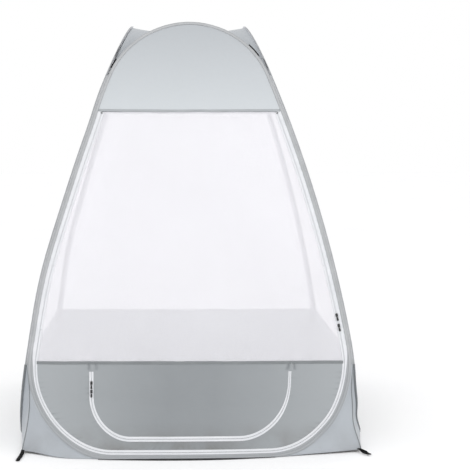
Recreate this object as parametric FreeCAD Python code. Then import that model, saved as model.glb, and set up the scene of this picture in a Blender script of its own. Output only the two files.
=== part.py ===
"""Pop-up privacy shower tent.

Four sprung-steel hoops stand in a square and lean in towards the top, one in each wall. Each runs in a
fabric sleeve. The walls are fabric below, fine mesh above and fabric again under the roof. The front wall
is a door, closed by a U-shaped zip just inside its hoop, and its lower band holds a smaller zipped hatch.

Millimetres. +Z is up, the door faces -Y, and the origin is the middle of the base, on the ground.
Every wall is modelled as the front one and turned about Z, so "front" helpers serve all four.
"""

import FreeCAD, Part
import math
import os

os.makedirs("parts", exist_ok=True)
Vector = FreeCAD.Vector

# ---- Driving dimensions -------------------------------------------------------------------------------
HEIGHT = 1900.0  # top of the arches
FOOT = 768.0  # from the centre to a wall, at the ground
CROWN = 268.0  # from the centre to a wall, at the top
WALL_BULGE = 79.0  # how far a wall bows out from a straight line between those two
BAND_TOP = 400.0  # top of the fabric band round the base
HEADER_HEM = 1485.0  # lower edge of the fabric under the roof
ROOF_MIDDLE = 1862.0  # the roof sags a little between the four arches

SLEEVE_HALF = 9.0  # half the width of a hoop's sleeve
SLEEVE_THICK = 8.0
HOOP_FROM_CORNER = 18.0  # a hoop's side run stands this far in from the neighbouring wall
HOOP_CORNER_RADIUS = 360.0
CHANNEL_WIDTH, CHANNEL_THICK = 11.0, 5.2
STRIP_WIDTH, STRIP_THICK = 6.0, 1.6  # sprung steel strip
FERRULE_WIDTH, FERRULE_THICK, FERRULE_LENGTH = 9.2, 4.0, 60.0

FABRIC = 1.0  # thickness of every panel
SEAM = 1.2  # gap between a panel and the sleeve it is sewn to
FLOOR_THICK = 1.2

ZIP_LINE = 23.0  # from a hoop's centreline in to the door's zip
TAPE_WIDTH = 12.0
COIL_WIDTH, COIL_HEIGHT = 1.8, 2.0
ZIP_GAP = 0.2  # from the zip's line to each half

DOOR_FOLDS = [1215.0, 945.0, 672.0, BAND_TOP]  # heights of the door's pleats, from the top down
FOLD_GAP = 4.0

HATCH_LEFT, HATCH_RIGHT = -431.0, 437.0
HATCH_BOTTOM, HATCH_TOP = 80.0, 334.0
HATCH_RADIUS_LEFT, HATCH_RADIUS_RIGHT = 170.0, 230.0
HATCH_HINGE_GAP = 8.0

DOOR_SLIDERS = {"upper": 596.0, "lower": 551.0}  # heights up the zip's right arm
HATCH_SLIDERS = {"upper": 308.0, "lower": 272.0}  # heights up the hatch's left arm

LOOP_WIDTH, LOOP_LENGTH, LOOP_THICK, WEBBING = 15.0, 125.0, 11.0, 1.5
LOOP_X, LOOP_START = 729.0, 745.0

WALLS = ["front", "right", "back", "left"]
CORNERS = ["front_right", "back_right", "back_left", "front_left"]

# ---- The wall's profile: one arc, seen from the side ----------------------------------------------------
chord = math.hypot(FOOT - CROWN, HEIGHT)
WALL_RADIUS = chord**2 / (8 * WALL_BULGE) + WALL_BULGE / 2
chord_to_centre = WALL_RADIUS - WALL_BULGE
CENTRE_OUT = (FOOT + CROWN) / 2 - chord_to_centre * HEIGHT / chord
CENTRE_UP = HEIGHT / 2 - chord_to_centre * (FOOT - CROWN) / chord


def wall_out(z, proud=0.0):
    """Distance from the tent's axis to a wall at height z, or to a surface that stands proud of it."""
    return CENTRE_OUT + math.sqrt((WALL_RADIUS + proud) ** 2 - (z - CENTRE_UP) ** 2)


# ---- The hoop's outline, seen from the front: line, corner arcs, side arcs and top arc -----------------
SIDE_X = CENTRE_OUT - HOOP_FROM_CORNER
arch_top = HEIGHT - SLEEVE_HALF
rise = arch_top - CENTRE_UP
TOP_RADIUS = (WALL_RADIUS**2 - SIDE_X**2 - rise**2) / (2 * (WALL_RADIUS - rise))
TOP_Z = arch_top - TOP_RADIUS
CORNER_Z = SLEEVE_HALF + HOOP_CORNER_RADIUS
CORNER_X = SIDE_X + math.sqrt((WALL_RADIUS - HOOP_CORNER_RADIUS) ** 2 - (CORNER_Z - CENTRE_UP) ** 2)

LOWER_TANGENT = math.atan2(CORNER_Z - CENTRE_UP, CORNER_X - SIDE_X)
UPPER_TANGENT = math.atan2(TOP_Z - CENTRE_UP, -SIDE_X)


def on_circle(x, z, radius, angle):
    return Vector(x + radius * math.cos(angle), 0, z + radius * math.sin(angle))


def mirrored(point):
    return Vector(-point.x, point.y, point.z)


def arc(first, middle, last):
    return Part.Arc(first, middle, last).toShape()


def hoop_outline(inset):
    """The closed outline that runs inside the hoop's centreline by inset."""
    corner, side, top = HOOP_CORNER_RADIUS - inset, WALL_RADIUS - inset, TOP_RADIUS - inset
    half_turn = (LOWER_TANGENT - math.pi / 2) / 2
    foot = on_circle(CORNER_X, CORNER_Z, corner, -math.pi / 2)
    foot_mid = on_circle(CORNER_X, CORNER_Z, corner, half_turn)
    low = on_circle(SIDE_X, CENTRE_UP, side, LOWER_TANGENT)
    middle = on_circle(SIDE_X, CENTRE_UP, side, (LOWER_TANGENT + UPPER_TANGENT) / 2)
    high = on_circle(SIDE_X, CENTRE_UP, side, UPPER_TANGENT)
    apex = on_circle(0, TOP_Z, top, math.pi / 2)
    edges = [
        Part.makeLine(mirrored(foot), foot),
        arc(foot, foot_mid, low),
        arc(low, middle, high),
        arc(high, apex, mirrored(high)),
        arc(mirrored(high), mirrored(middle), mirrored(low)),
        arc(mirrored(low), mirrored(foot_mid), mirrored(foot)),
    ]
    return Part.Wire(edges)


# ---- Solids of the front wall --------------------------------------------------------------------------
REACH_NEAR, REACH_FAR = 200.0, 900.0


def prism(wire):
    """Everything in front of the tent's axis that lies inside an outline seen from the front."""
    face = Part.Face(wire)
    face.translate(Vector(0, -REACH_NEAR, 0))
    return face.extrude(Vector(0, REACH_NEAR - REACH_FAR, 0))


def inside(inset):
    return prism(hoop_outline(inset))


def between(outer, inner):
    return inside(outer).cut(inside(inner))


def slab(inner, outer):
    """The front wall's surface over its whole width, from inner to outer, measured out from its middle."""
    low, high = -60.0, HEIGHT + 60.0

    def point(proud, z):
        return Vector(-REACH_FAR, -wall_out(z, proud), z)

    middle = (low + high) / 2
    edges = [
        arc(point(inner, low), point(inner, middle), point(inner, high)),
        Part.makeLine(point(inner, high), point(outer, high)),
        arc(point(outer, high), point(outer, middle), point(outer, low)),
        Part.makeLine(point(outer, low), point(inner, low)),
    ]
    return Part.Face(Part.Wire(edges)).extrude(Vector(2 * REACH_FAR, 0, 0))


def layer(thickness, lift=0.0):
    return slab(lift - thickness / 2, lift + thickness / 2)


def between_heights(low, high):
    return Part.makeBox(2 * REACH_FAR, 2 * REACH_FAR, high - low, Vector(-REACH_FAR, -REACH_FAR, low))


def region(x_low, x_high, z_low, z_high):
    size = (x_high - x_low, REACH_FAR, z_high - z_low)
    return Part.makeBox(*size, Vector(x_low, -REACH_FAR, z_low))


def turned(shape, quarter_turns):
    copy = shape.copy()
    copy.rotate(Vector(0, 0, 0), Vector(0, 0, 1), 90 * quarter_turns)
    return copy


def solids(shape):
    return list(shape.Solids)


def save(name, pieces):
    pieces = pieces if isinstance(pieces, list) else solids(pieces)
    shape = pieces[0] if len(pieces) == 1 else Part.makeCompound(pieces)
    shape.exportStep(f"parts/{name}.step")
    volume = sum(piece.Volume for piece in pieces)
    valid = all(piece.isValid() for piece in pieces)
    print(f"{name}: {len(pieces)} solid(s), {volume / 1000:.1f} cm3, valid {valid}")


# ---- Hoops, ferrules and sleeves ------------------------------------------------------------------------
def make_hoop():
    return layer(STRIP_THICK).common(between(-STRIP_WIDTH / 2, STRIP_WIDTH / 2))


def make_ferrule():
    """The tube that joins a hoop's two ends, in the middle of its bottom run."""
    reach = region(-FERRULE_LENGTH / 2, FERRULE_LENGTH / 2, 0, 2 * SLEEVE_HALF)
    bore_width, bore_thick = STRIP_WIDTH / 2 + 0.1, STRIP_THICK + 0.2
    tube = layer(FERRULE_THICK).common(between(-FERRULE_WIDTH / 2, FERRULE_WIDTH / 2))
    bore = layer(bore_thick).common(between(-bore_width, bore_width))
    return tube.common(reach).cut(bore)


def sleeve_runs():
    """Where a sleeve is divided along its length: its lower run, and the runs up each side."""
    low, far = -1.0, REACH_FAR
    levels = [low, 95.0, 300.0, 760.0, 1200.0, 1620.0, 1760.0, 1850.0, HEIGHT + 1.0]
    runs = [region(-CORNER_X, CORNER_X, low, 60.0)]
    for first, last in zip(levels, levels[1:]):
        inner = CORNER_X if first == low else 0.0
        runs.append(region(inner, far, first, last))
        runs.append(region(-far, -inner, first, last))
    return runs


def make_sleeve():
    tube = layer(SLEEVE_THICK).common(between(-SLEEVE_HALF, SLEEVE_HALF))
    channel = layer(CHANNEL_THICK).common(between(-CHANNEL_WIDTH / 2, CHANNEL_WIDTH / 2))
    tube = tube.cut(channel)
    return [piece for run in sleeve_runs() for piece in solids(tube.common(run))]


hoop, ferrule, sleeve = make_hoop(), make_ferrule(), make_sleeve()
for turn, wall in enumerate(WALLS):
    save(f"hoop_{wall}", turned(hoop, turn))
    save(f"sleeve_{wall}", [turned(piece, turn) for piece in sleeve])
save("hoop_ferrules", [turned(solids(ferrule)[0], turn) for turn in range(4)])


# ---- Wall panels ----------------------------------------------------------------------------------------
PANEL_INSET = SLEEVE_HALF + SEAM
GAP = 2.0  # from a panel's edge to a change of fabric
HEM_WIDTH, HEM_LIFT = 11.0, 1.2

panel = layer(FABRIC).common(inside(PANEL_INSET))
hem = layer(FABRIC, HEM_LIFT).common(inside(PANEL_INSET))

header = panel.common(between_heights(HEADER_HEM + GAP, HEIGHT))
mesh = panel.common(between_heights(BAND_TOP + GAP, HEADER_HEM - GAP))
band = panel.common(between_heights(0, BAND_TOP - GAP))
header_hem = hem.common(between_heights(HEADER_HEM + GAP, HEADER_HEM + GAP + HEM_WIDTH))
band_hem = hem.common(between_heights(BAND_TOP - GAP - HEM_WIDTH, BAND_TOP - GAP))

for turn, wall in enumerate(WALLS):
    save(f"header_{wall}", turned(header, turn))
    if wall != "front":
        save(f"mesh_{wall}", turned(mesh, turn))
        save(f"band_{wall}", turned(band, turn))
save("header_hem", [turned(solids(header_hem)[0], turn) for turn in range(4)])
save("band_hem", [turned(solids(band_hem)[0], turn) for turn in range(1, 4)])


# ---- Corners: a narrow strip between neighbouring sleeves, and a gusset outside their lower corners ----
STRIP_SETBACK = SLEEVE_THICK / 2 + 3.0
strip_run = between(-11.0, 0.0).common(between_heights(395.0, 1600.0))
strips = layer(FABRIC, -STRIP_SETBACK).common(strip_run)
for turn, names in [(0, ("front_left", "front_right")), (2, ("back_right", "back_left"))]:
    left, right = sorted(solids(strips), key=lambda piece: piece.CenterOfMass.x)
    save(f"corner_strip_{names[0]}", turned(left, turn))
    save(f"corner_strip_{names[1]}", turned(right, turn))

GUSSET_TOP = 378.0
BASE_CORNER = 736.0  # the base's corners stand in from the hoops' lower runs


def make_gusset():
    """Two flat halves that meet along the front right corner, from the hoops down to the base."""
    foot = Vector(CORNER_X, -FOOT, 0)
    corner = Vector(BASE_CORNER, -BASE_CORNER, 0)
    top = Vector(wall_out(GUSSET_TOP) - HOOP_FROM_CORNER, -wall_out(GUSSET_TOP), GUSSET_TOP)
    normal = (corner - foot).cross(top - foot).normalize()
    if normal.y > 0:
        normal = normal * -1
    sheet = Part.makePlane(2000, 2000, foot, normal)
    sheet.translate(foot - sheet.CenterOfMass)
    sheet = sheet.extrude(normal * -FABRIC)
    outside_hoop = region(CORNER_X, REACH_FAR, 2.0, GUSSET_TOP).cut(inside(-SLEEVE_HALF - SEAM))
    mitre_points = [Vector(0, 0, 0), Vector(0, -REACH_FAR, 0), Vector(REACH_FAR, -REACH_FAR, 0)]
    mitre = Part.Face(Part.makePolygon(mitre_points + mitre_points[:1])).extrude(Vector(0, 0, HEIGHT))
    mitre.translate(Vector(-0.2, 0, 0))
    front_half = solids(sheet.common(outside_hoop).common(mitre))[0]
    side_half = front_half.mirror(Vector(0, 0, 0), Vector(1, 1, 0))
    return [front_half, side_half]


gusset = make_gusset()
for turn, corner in enumerate(CORNERS):
    save(f"gusset_{corner}", [turned(half, turn) for half in gusset])


# ---- Roof and floor -------------------------------------------------------------------------------------
ARCH_STEPS = 4  # straight edges along each half of an arch
ROOF_SETBACK = SLEEVE_THICK / 2 + 2.0


def arch_point(angle_from_top):
    x = TOP_RADIUS * math.sin(angle_from_top)
    z = TOP_Z + TOP_RADIUS * math.cos(angle_from_top)
    return Vector(x, -(wall_out(z) - ROOF_SETBACK), z)


def fan(centre, rim, drop):
    """A thin solid of flat triangles from a centre to each stretch of a rim."""
    down = Vector(0, 0, -drop)
    loop = [centre] + rim
    faces = []
    for first, last in zip(rim, rim[1:]):
        for shift in (Vector(0, 0, 0), down):
            corners = [centre + shift, first + shift, last + shift, centre + shift]
            faces.append(Part.Face(Part.makePolygon(corners)))
    for first, last in zip(loop, loop[1:] + loop[:1]):
        side = [first, last, last + down, first + down, first]
        faces.append(Part.Face(Part.makePolygon(side)))
    return Part.Solid(Part.Shell(faces))


def make_roof():
    centre = Vector(0, 0, ROOF_MIDDLE)
    arch_end = math.pi / 2 - UPPER_TANGENT
    angles = [arch_end * step / ARCH_STEPS for step in range(ARCH_STEPS + 1)]
    right_rim = [arch_point(angle) for angle in angles]
    left_rim = [mirrored(point) for point in right_rim]
    to_next_wall = FreeCAD.Rotation(Vector(0, 0, 1), 90).multVec(left_rim[-1])
    sectors = [fan(centre, right_rim + [to_next_wall], FABRIC), fan(centre, left_rim, FABRIC)]
    return [turned(sector, turn) for turn in range(4) for sector in sectors]


save("roof_panel", make_roof())


def make_floor():
    edge, corner = FOOT - SLEEVE_THICK / 2 - SEAM, BASE_CORNER - 4.0
    quarter = [Vector(-CORNER_X, -edge, 0), Vector(CORNER_X, -edge, 0), Vector(corner, -corner, 0)]
    turns = [FreeCAD.Rotation(Vector(0, 0, 1), 90 * turn) for turn in range(4)]
    points = [turn.multVec(point) for turn in turns for point in quarter]
    return Part.Face(Part.makePolygon(points + points[:1])).extrude(Vector(0, 0, FLOOR_THICK))


save("floor_panel", make_floor())


# ---- Door: zip halves, mesh pleats and the lower band ---------------------------------------------------
def zip_half(outline, line, away):
    """Tape and coil on one side of a zip's line. away is +1 inside the line and -1 outside it."""

    def stretch(near, far):
        edges = sorted([line + away * near, line + away * far])
        return prism(outline(edges[0])).cut(prism(outline(edges[1])))

    tape = layer(FABRIC).common(stretch(ZIP_GAP, TAPE_WIDTH))
    coil = slab(0, FABRIC / 2 + COIL_HEIGHT).common(stretch(ZIP_GAP, COIL_WIDTH))
    return tape.fuse(coil).removeSplitter()


DOOR_INSET = ZIP_LINE + TAPE_WIDTH + 0.3
below_header = between_heights(0, HEADER_HEM - GAP)
tape_to_sleeve = layer(FABRIC).common(between(PANEL_INSET, ZIP_LINE - TAPE_WIDTH)).common(below_header)
frame_half = zip_half(hoop_outline, ZIP_LINE, -1).common(below_header)
save("door_zip_frame", frame_half.fuse(tape_to_sleeve).removeSplitter())

door_half = zip_half(hoop_outline, ZIP_LINE, 1)
door_cloth = layer(FABRIC).common(inside(DOOR_INSET))

edges_down = [HEADER_HEM] + DOOR_FOLDS + [0.0]
for number, (upper, lower) in enumerate(zip(edges_down, edges_down[1:]), start=1):
    pleat = between_heights(lower + FOLD_GAP / 2 if lower else 0.0, upper - FOLD_GAP / 2)
    save(f"door_zip_{number}", door_half.common(pleat))
    if lower:
        save(f"door_mesh_{number}", door_cloth.common(pleat))
    else:
        door_band = door_cloth.common(pleat)

STOP_HEIGHT = HEADER_HEM - GAP - 6.0
stop_run = between(ZIP_LINE - 4.0, ZIP_LINE + 4.0).common(between_heights(STOP_HEIGHT, STOP_HEIGHT + 3.0))
save("door_zip_stops", slab(COIL_HEIGHT + 0.8, COIL_HEIGHT + 2.0).common(stop_run))


# ---- Hatch in the door's band ---------------------------------------------------------------------------
def hatch_outline(inset, top=HATCH_TOP):
    """The hatch's U and its straight top, inside its zip's line by inset."""
    left, right, bottom = HATCH_LEFT + inset, HATCH_RIGHT - inset, HATCH_BOTTOM + inset
    left_radius, right_radius = HATCH_RADIUS_LEFT - inset, HATCH_RADIUS_RIGHT - inset
    left_x, left_z = left + left_radius, bottom + left_radius
    right_x, right_z = right - right_radius, bottom + right_radius
    eighth = math.pi / 4
    edges = [
        Part.makeLine(Vector(left, 0, top), Vector(left, 0, left_z)),
        arc(
            Vector(left, 0, left_z),
            on_circle(left_x, left_z, left_radius, 5 * eighth),
            Vector(left_x, 0, bottom),
        ),
        Part.makeLine(Vector(left_x, 0, bottom), Vector(right_x, 0, bottom)),
        arc(
            Vector(right_x, 0, bottom),
            on_circle(right_x, right_z, right_radius, -eighth),
            Vector(right, 0, right_z),
        ),
        Part.makeLine(Vector(right, 0, right_z), Vector(right, 0, top)),
        Part.makeLine(Vector(right, 0, top), Vector(left, 0, top)),
    ]
    return Part.Wire(edges)


HATCH_INSET = TAPE_WIDTH + 0.3
below_hinge = between_heights(0, HATCH_TOP - 0.5)
save("hatch_zip_frame", zip_half(hatch_outline, 0.0, -1).common(below_hinge))
save("hatch_zip_flap", zip_half(hatch_outline, 0.0, 1).common(below_hinge))
save("hatch_panel", layer(FABRIC).common(prism(hatch_outline(HATCH_INSET))))
save("door_band", door_band.cut(prism(hatch_outline(-HATCH_INSET, HATCH_TOP + HATCH_HINGE_GAP))))

door_hem_run = between_heights(BAND_TOP - FOLD_GAP / 2 - HEM_WIDTH, BAND_TOP - FOLD_GAP / 2)
save("door_hem", layer(FABRIC, HEM_LIFT).common(inside(DOOR_INSET)).common(door_hem_run))


# ---- Zip sliders and their pulls ------------------------------------------------------------------------
PLATE_WIDTH, PLATE_LENGTH, PLATE_THICK = 11.0, 16.0, 2.2
PLATE_LIFT = FABRIC / 2 + COIL_HEIGHT + 0.9  # clears the coil as it slides on the slightly curved wall
BRIDGE_WIDTH, BRIDGE_LENGTH, BRIDGE_THICK = 4.0, 10.0, 3.6
EYE_LENGTH, EYE_THICK = 6.0, 2.0
PULL_WIDTH, PULL_LENGTH, PULL_THICK = 9.0, 25.0, 1.2
PULL_EYE_WIDTH, PULL_EYE_LENGTH = 5.8, 8.0
PULL_DROP = 1.0  # the pull's pin lies this far below the slider's middle


def block(width, lift, thickness, low, high):
    """A box across a zip: centred on it, lifted off the wall, and from low to high along it."""
    return Part.makeBox(width, thickness, high - low, Vector(-width / 2, lift, low))


BRIDGE_LIFT = PLATE_LIFT + PLATE_THICK
PIN_LIFT = BRIDGE_LIFT + EYE_THICK / 2


def make_slider():
    plate = block(PLATE_WIDTH, PLATE_LIFT, PLATE_THICK, -PLATE_LENGTH / 2, PLATE_LENGTH / 2)
    bridge = block(BRIDGE_WIDTH, BRIDGE_LIFT, BRIDGE_THICK, -BRIDGE_LENGTH / 2, BRIDGE_LENGTH / 2)
    eye = block(PLATE_WIDTH, BRIDGE_LIFT, EYE_THICK, -EYE_LENGTH / 2, EYE_LENGTH / 2)
    return plate.fuse(bridge.cut(eye)).removeSplitter()


def make_pull():
    lift = PIN_LIFT - PULL_THICK / 2
    top = -PULL_DROP + PULL_THICK / 2
    plate = block(PULL_WIDTH, lift, PULL_THICK, top - PULL_LENGTH, top)
    below_pin = top - PULL_THICK
    eye = block(PULL_EYE_WIDTH, lift, PULL_THICK, below_pin - PULL_EYE_LENGTH, below_pin)
    return plate.cut(eye)


def placed(shape, x, z, lean_x):
    """Set a piece on the front wall at (x, z), with its length along a line that leans lean_x per unit of z."""
    out = wall_out(z)
    outward = Vector(0, -(out - CENTRE_OUT), z - CENTRE_UP).normalize()
    lean_out = (z - CENTRE_UP) / (out - CENTRE_OUT)
    along = Vector(lean_x, lean_out, 1).normalize()
    across = outward.cross(along)
    matrix = FreeCAD.Matrix(
        across.x, outward.x, along.x, x,
        across.y, outward.y, along.y, -out,
        across.z, outward.z, along.z, z,
        0, 0, 0, 1,
    )  # fmt: skip
    return shape.transformed(matrix)


for name, z in DOOR_SLIDERS.items():
    side = math.sqrt((WALL_RADIUS - ZIP_LINE) ** 2 - (z - CENTRE_UP) ** 2)
    lean = -(z - CENTRE_UP) / side
    save(f"door_slider_{name}", placed(make_slider(), SIDE_X + side, z, lean))
    save(f"door_pull_{name}", placed(make_pull(), SIDE_X + side, z, lean))
for name, z in HATCH_SLIDERS.items():
    save(f"hatch_slider_{name}", placed(make_slider(), HATCH_LEFT, z, 0.0))
    save(f"hatch_pull_{name}", placed(make_pull(), HATCH_LEFT, z, 0.0))


# ---- Webbing loops for the pegs, one at each corner of the base ----------------------------------------
def stadium(radius, near, far):
    """A slot seen from the side: flat at its near end and round at its far end."""
    middle = LOOP_THICK / 2
    low, high = middle - radius, middle + radius
    x = -LOOP_WIDTH / 2
    tip = Vector(x, -far - radius, middle)
    edges = [
        Part.makeLine(Vector(x, -far, low), Vector(x, -near, low)),
        Part.makeLine(Vector(x, -near, low), Vector(x, -near, high)),
        Part.makeLine(Vector(x, -near, high), Vector(x, -far, high)),
        arc(Vector(x, -far, high), tip, Vector(x, -far, low)),
    ]
    return Part.Face(Part.Wire(edges)).extrude(Vector(LOOP_WIDTH, 0, 0))


def make_peg_loop():
    sewn_end = 16.0
    radius = LOOP_THICK / 2
    far = LOOP_START + LOOP_LENGTH - radius
    return stadium(radius, LOOP_START, far).cut(stadium(radius - WEBBING, LOOP_START + sewn_end, far))


for corner in CORNERS:
    loop = make_peg_loop()
    if corner.startswith("back"):
        loop = turned(loop, 2)
    loop.translate(Vector(LOOP_X if corner.endswith("right") else -LOOP_X, 0, 0))
    save(f"peg_loop_{corner}", loop)
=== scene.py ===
"""Looks of the pop-up privacy shower tent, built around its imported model.

Metres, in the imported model's frame: +Z up, the door faces -Y, the origin is the middle of the base.
Every wall is worked out as the front one, seen from outside, and turned about Z by quarter turns.
"""

import bmesh
import bpy
import math
import numpy as np
from mathutils import Matrix, Vector, noise


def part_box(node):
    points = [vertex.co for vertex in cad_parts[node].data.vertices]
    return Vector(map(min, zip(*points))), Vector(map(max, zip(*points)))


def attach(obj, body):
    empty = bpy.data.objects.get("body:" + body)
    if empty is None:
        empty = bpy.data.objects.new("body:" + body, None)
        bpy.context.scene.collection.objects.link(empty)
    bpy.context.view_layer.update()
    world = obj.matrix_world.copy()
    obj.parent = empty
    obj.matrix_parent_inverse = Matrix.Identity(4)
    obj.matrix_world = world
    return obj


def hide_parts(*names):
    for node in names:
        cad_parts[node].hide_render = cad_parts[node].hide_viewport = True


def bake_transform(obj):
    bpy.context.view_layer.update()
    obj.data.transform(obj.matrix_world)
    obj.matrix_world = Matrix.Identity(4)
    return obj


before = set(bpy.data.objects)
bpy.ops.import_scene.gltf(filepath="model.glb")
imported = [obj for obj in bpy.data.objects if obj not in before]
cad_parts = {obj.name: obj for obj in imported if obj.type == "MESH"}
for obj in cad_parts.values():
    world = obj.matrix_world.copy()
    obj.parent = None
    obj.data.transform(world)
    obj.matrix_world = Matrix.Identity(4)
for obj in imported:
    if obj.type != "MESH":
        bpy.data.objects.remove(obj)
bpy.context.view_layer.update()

# ---- Sizes read from the frame -------------------------------------------------------------------------
WALLS = ["front", "right", "back", "left"]
OTHER_WALLS = list(enumerate(WALLS))[1:]
CORNERS = ["front_right", "back_right", "back_left", "front_left"]
FABRIC = 0.001
EDGE_GAP = 0.002  # the frame's panels stop this far from a change of fabric
ZIP_GAP = 0.0003
TAPE_WIDTH = 0.012
SHOWN_TAPE = 0.0092  # how much of each zip tape's width shows

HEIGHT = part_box("sleeve_front")[1].z
HEADER_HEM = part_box("header_front")[0].z - EDGE_GAP
BAND_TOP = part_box("band_right")[1].z + EDGE_GAP
DOOR_FOLDS = [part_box(f"door_mesh_{number}")[0].z - EDGE_GAP for number in (1, 2, 3, 4)]
ROOF_MIDDLE = 1.862

SLEEVE_HALF = 0.009
HOOP_FROM_CORNER = 0.018
HOOP_CORNER_RADIUS = 0.360
PANEL_INSET = 0.0062
ZIP_LINE = 0.023
DOOR_INSET = 0.0290
GUSSET_TOP = 0.384
BASE_CORNER = 0.736

HATCH_INSET = TAPE_WIDTH + ZIP_GAP
hatch_low, hatch_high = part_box("hatch_panel")
HATCH_LEFT, HATCH_RIGHT = hatch_low.x - HATCH_INSET, hatch_high.x + HATCH_INSET
HATCH_BOTTOM, HATCH_TOP = hatch_low.z - HATCH_INSET, hatch_high.z + HATCH_INSET
HATCH_RADIUS_LEFT, HATCH_RADIUS_RIGHT = 0.170, 0.230
HATCH_HINGE = HATCH_TOP + 0.008

BOW = [0.082, 0.012, 0.024, 0.020]  # how far each wall's foot bellies out past its straight line
BOW_HEIGHT = 0.092  # the belly fades with height, by this much for each factor of e
FOOT_SQUASH = 0.008  # the lowest cloth leans out, so it stands this much lower than a straight wall's
FOOT_ROLL = 0.035
SEAM_HOLLOW = [0.006, 0.006, 0.006, 0.019]  # how far each corner's seam draws in, halfway up
# Radius at each corner of the dark cord that stands for the shade on the side wall's sleeve beside the
# gusset.
SIDE_SHADE_RADIUS = [0.0064, 0.0042, 0.0042, 0.0068]
FLARE = 0.030  # how far the front left gusset's hem flares out
CORNER_LIFT = 0.011  # the hoops hold the base's corners just off the ground


def circle_through(points):
    """Centre and radius of the circle through three (x, z) points."""
    rows = [[2 * x, 2 * z, 1] for x, z in points]
    x, z, rest = np.linalg.solve(rows, [x * x + z * z for x, z in points])
    return x, z, math.sqrt(rest + x * x + z * z)


def outer_foot(node):
    low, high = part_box(node)
    return high.x, low.z


profile_points = [outer_foot(node) for node in ("band_right", "mesh_right", "header_right")]
CENTRE_OUT, CENTRE_UP, outer_radius = circle_through(profile_points)
WALL_RADIUS = outer_radius - FABRIC / 2


def wall_out(z, proud=0.0):
    """Distance from the tent's axis to a wall at height z, or to a surface proud of it."""
    return CENTRE_OUT + np.sqrt((WALL_RADIUS + proud) ** 2 - (z - CENTRE_UP) ** 2)


# ---- The hoop's outline: bottom line, corner arc, side arc, top arc, and their mirror images ----------
SIDE_X = CENTRE_OUT - HOOP_FROM_CORNER
arch_top = HEIGHT - SLEEVE_HALF
rise = arch_top - CENTRE_UP
TOP_RADIUS = (WALL_RADIUS**2 - SIDE_X**2 - rise**2) / (2 * (WALL_RADIUS - rise))
TOP_Z = arch_top - TOP_RADIUS
CORNER_Z = SLEEVE_HALF + HOOP_CORNER_RADIUS
CORNER_X = SIDE_X + math.sqrt((WALL_RADIUS - HOOP_CORNER_RADIUS) ** 2 - (CORNER_Z - CENTRE_UP) ** 2)
LOWER_TANGENT = math.atan2(CORNER_Z - CENTRE_UP, CORNER_X - SIDE_X)
UPPER_TANGENT = math.atan2(TOP_Z - CENTRE_UP, -SIDE_X)

LINE_END = CORNER_X
CORNER_END = LINE_END + HOOP_CORNER_RADIUS * (LOWER_TANGENT + math.pi / 2)
SIDE_END = CORNER_END + WALL_RADIUS * (UPPER_TANGENT - LOWER_TANGENT)
HALF_HOOP = SIDE_END + TOP_RADIUS * (math.pi / 2 - UPPER_TANGENT)


def hoop_path(t):
    """Points (x, z) and outward normals on the hoop's centreline, t metres from the base's middle."""
    t = np.mod(np.asarray(t, float), 2 * HALF_HOOP)
    mirror = np.where(t > HALF_HOOP, -1.0, 1.0)
    t = np.where(t > HALF_HOOP, 2 * HALF_HOOP - t, t)
    corner = -math.pi / 2 + (t - LINE_END) / HOOP_CORNER_RADIUS
    side = LOWER_TANGENT + (t - CORNER_END) / WALL_RADIUS
    top = UPPER_TANGENT + (t - SIDE_END) / TOP_RADIUS
    on_line, on_corner, on_side = t < LINE_END, t < CORNER_END, t < SIDE_END
    where = [on_line, on_corner, on_side]
    angle = np.select(where, [np.full_like(t, -math.pi / 2), corner, side], top)
    centre_x = np.select(where, [t, CORNER_X, SIDE_X], 0.0)
    centre_z = np.select(where, [CORNER_Z, CORNER_Z, CENTRE_UP], TOP_Z)
    radius = np.select(where, [HOOP_CORNER_RADIUS, HOOP_CORNER_RADIUS, WALL_RADIUS], TOP_RADIUS)
    normal_x, normal_z = np.cos(angle), np.sin(angle)
    x = (centre_x + radius * normal_x) * mirror
    return x, centre_z + radius * normal_z, normal_x * mirror, normal_z


def station(z, inset):
    """How far along the hoop, on its right half, the outline inside it by inset reaches height z."""
    z = np.asarray(z, float)
    corner = HOOP_CORNER_RADIUS - inset
    low = CORNER_Z + corner * math.sin(LOWER_TANGENT)
    high = TOP_Z + (TOP_RADIUS - inset) * math.sin(UPPER_TANGENT)
    corner_angle = np.arcsin(np.clip((z - CORNER_Z) / corner, -1, 1))
    on_corner = LINE_END + HOOP_CORNER_RADIUS * (corner_angle + math.pi / 2)
    side_angle = np.arcsin(np.clip((z - CENTRE_UP) / (WALL_RADIUS - inset), -1, 1))
    on_side = CORNER_END + WALL_RADIUS * (side_angle - LOWER_TANGENT)
    top_angle = np.arcsin(np.clip((z - TOP_Z) / (TOP_RADIUS - inset), -1, 1))
    on_top = SIDE_END + TOP_RADIUS * (top_angle - UPPER_TANGENT)
    return np.select([z < low, z < high], [on_corner, on_side], on_top)


def half_width(z, inset):
    x, _, normal_x, _ = hoop_path(station(z, inset))
    return x - inset * normal_x


def full_width(z, inset=PANEL_INSET):
    return 2 * float(half_width(z, inset))


# ---- Placing points on a wall --------------------------------------------------------------------------
def belly(x, z, turn):
    """How far out a wall's foot bellies, most a little to the left of its middle."""
    from_middle = np.abs(x + 0.09)
    right = 1 - (from_middle / 0.66) ** 2
    left = 1 - (from_middle / 0.64) ** 4
    across = np.clip(np.where(x < -0.09, left, right), 0, 1) ** 0.8
    return BOW[turn] * np.exp(-z / BOW_HEIGHT) * across * (1 - smooth(z, 0.13, 0.25))


def turned(points, turn):
    for _ in range(turn):
        points = np.stack([-points[..., 1], points[..., 0], points[..., 2]], axis=-1)
    return points


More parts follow.
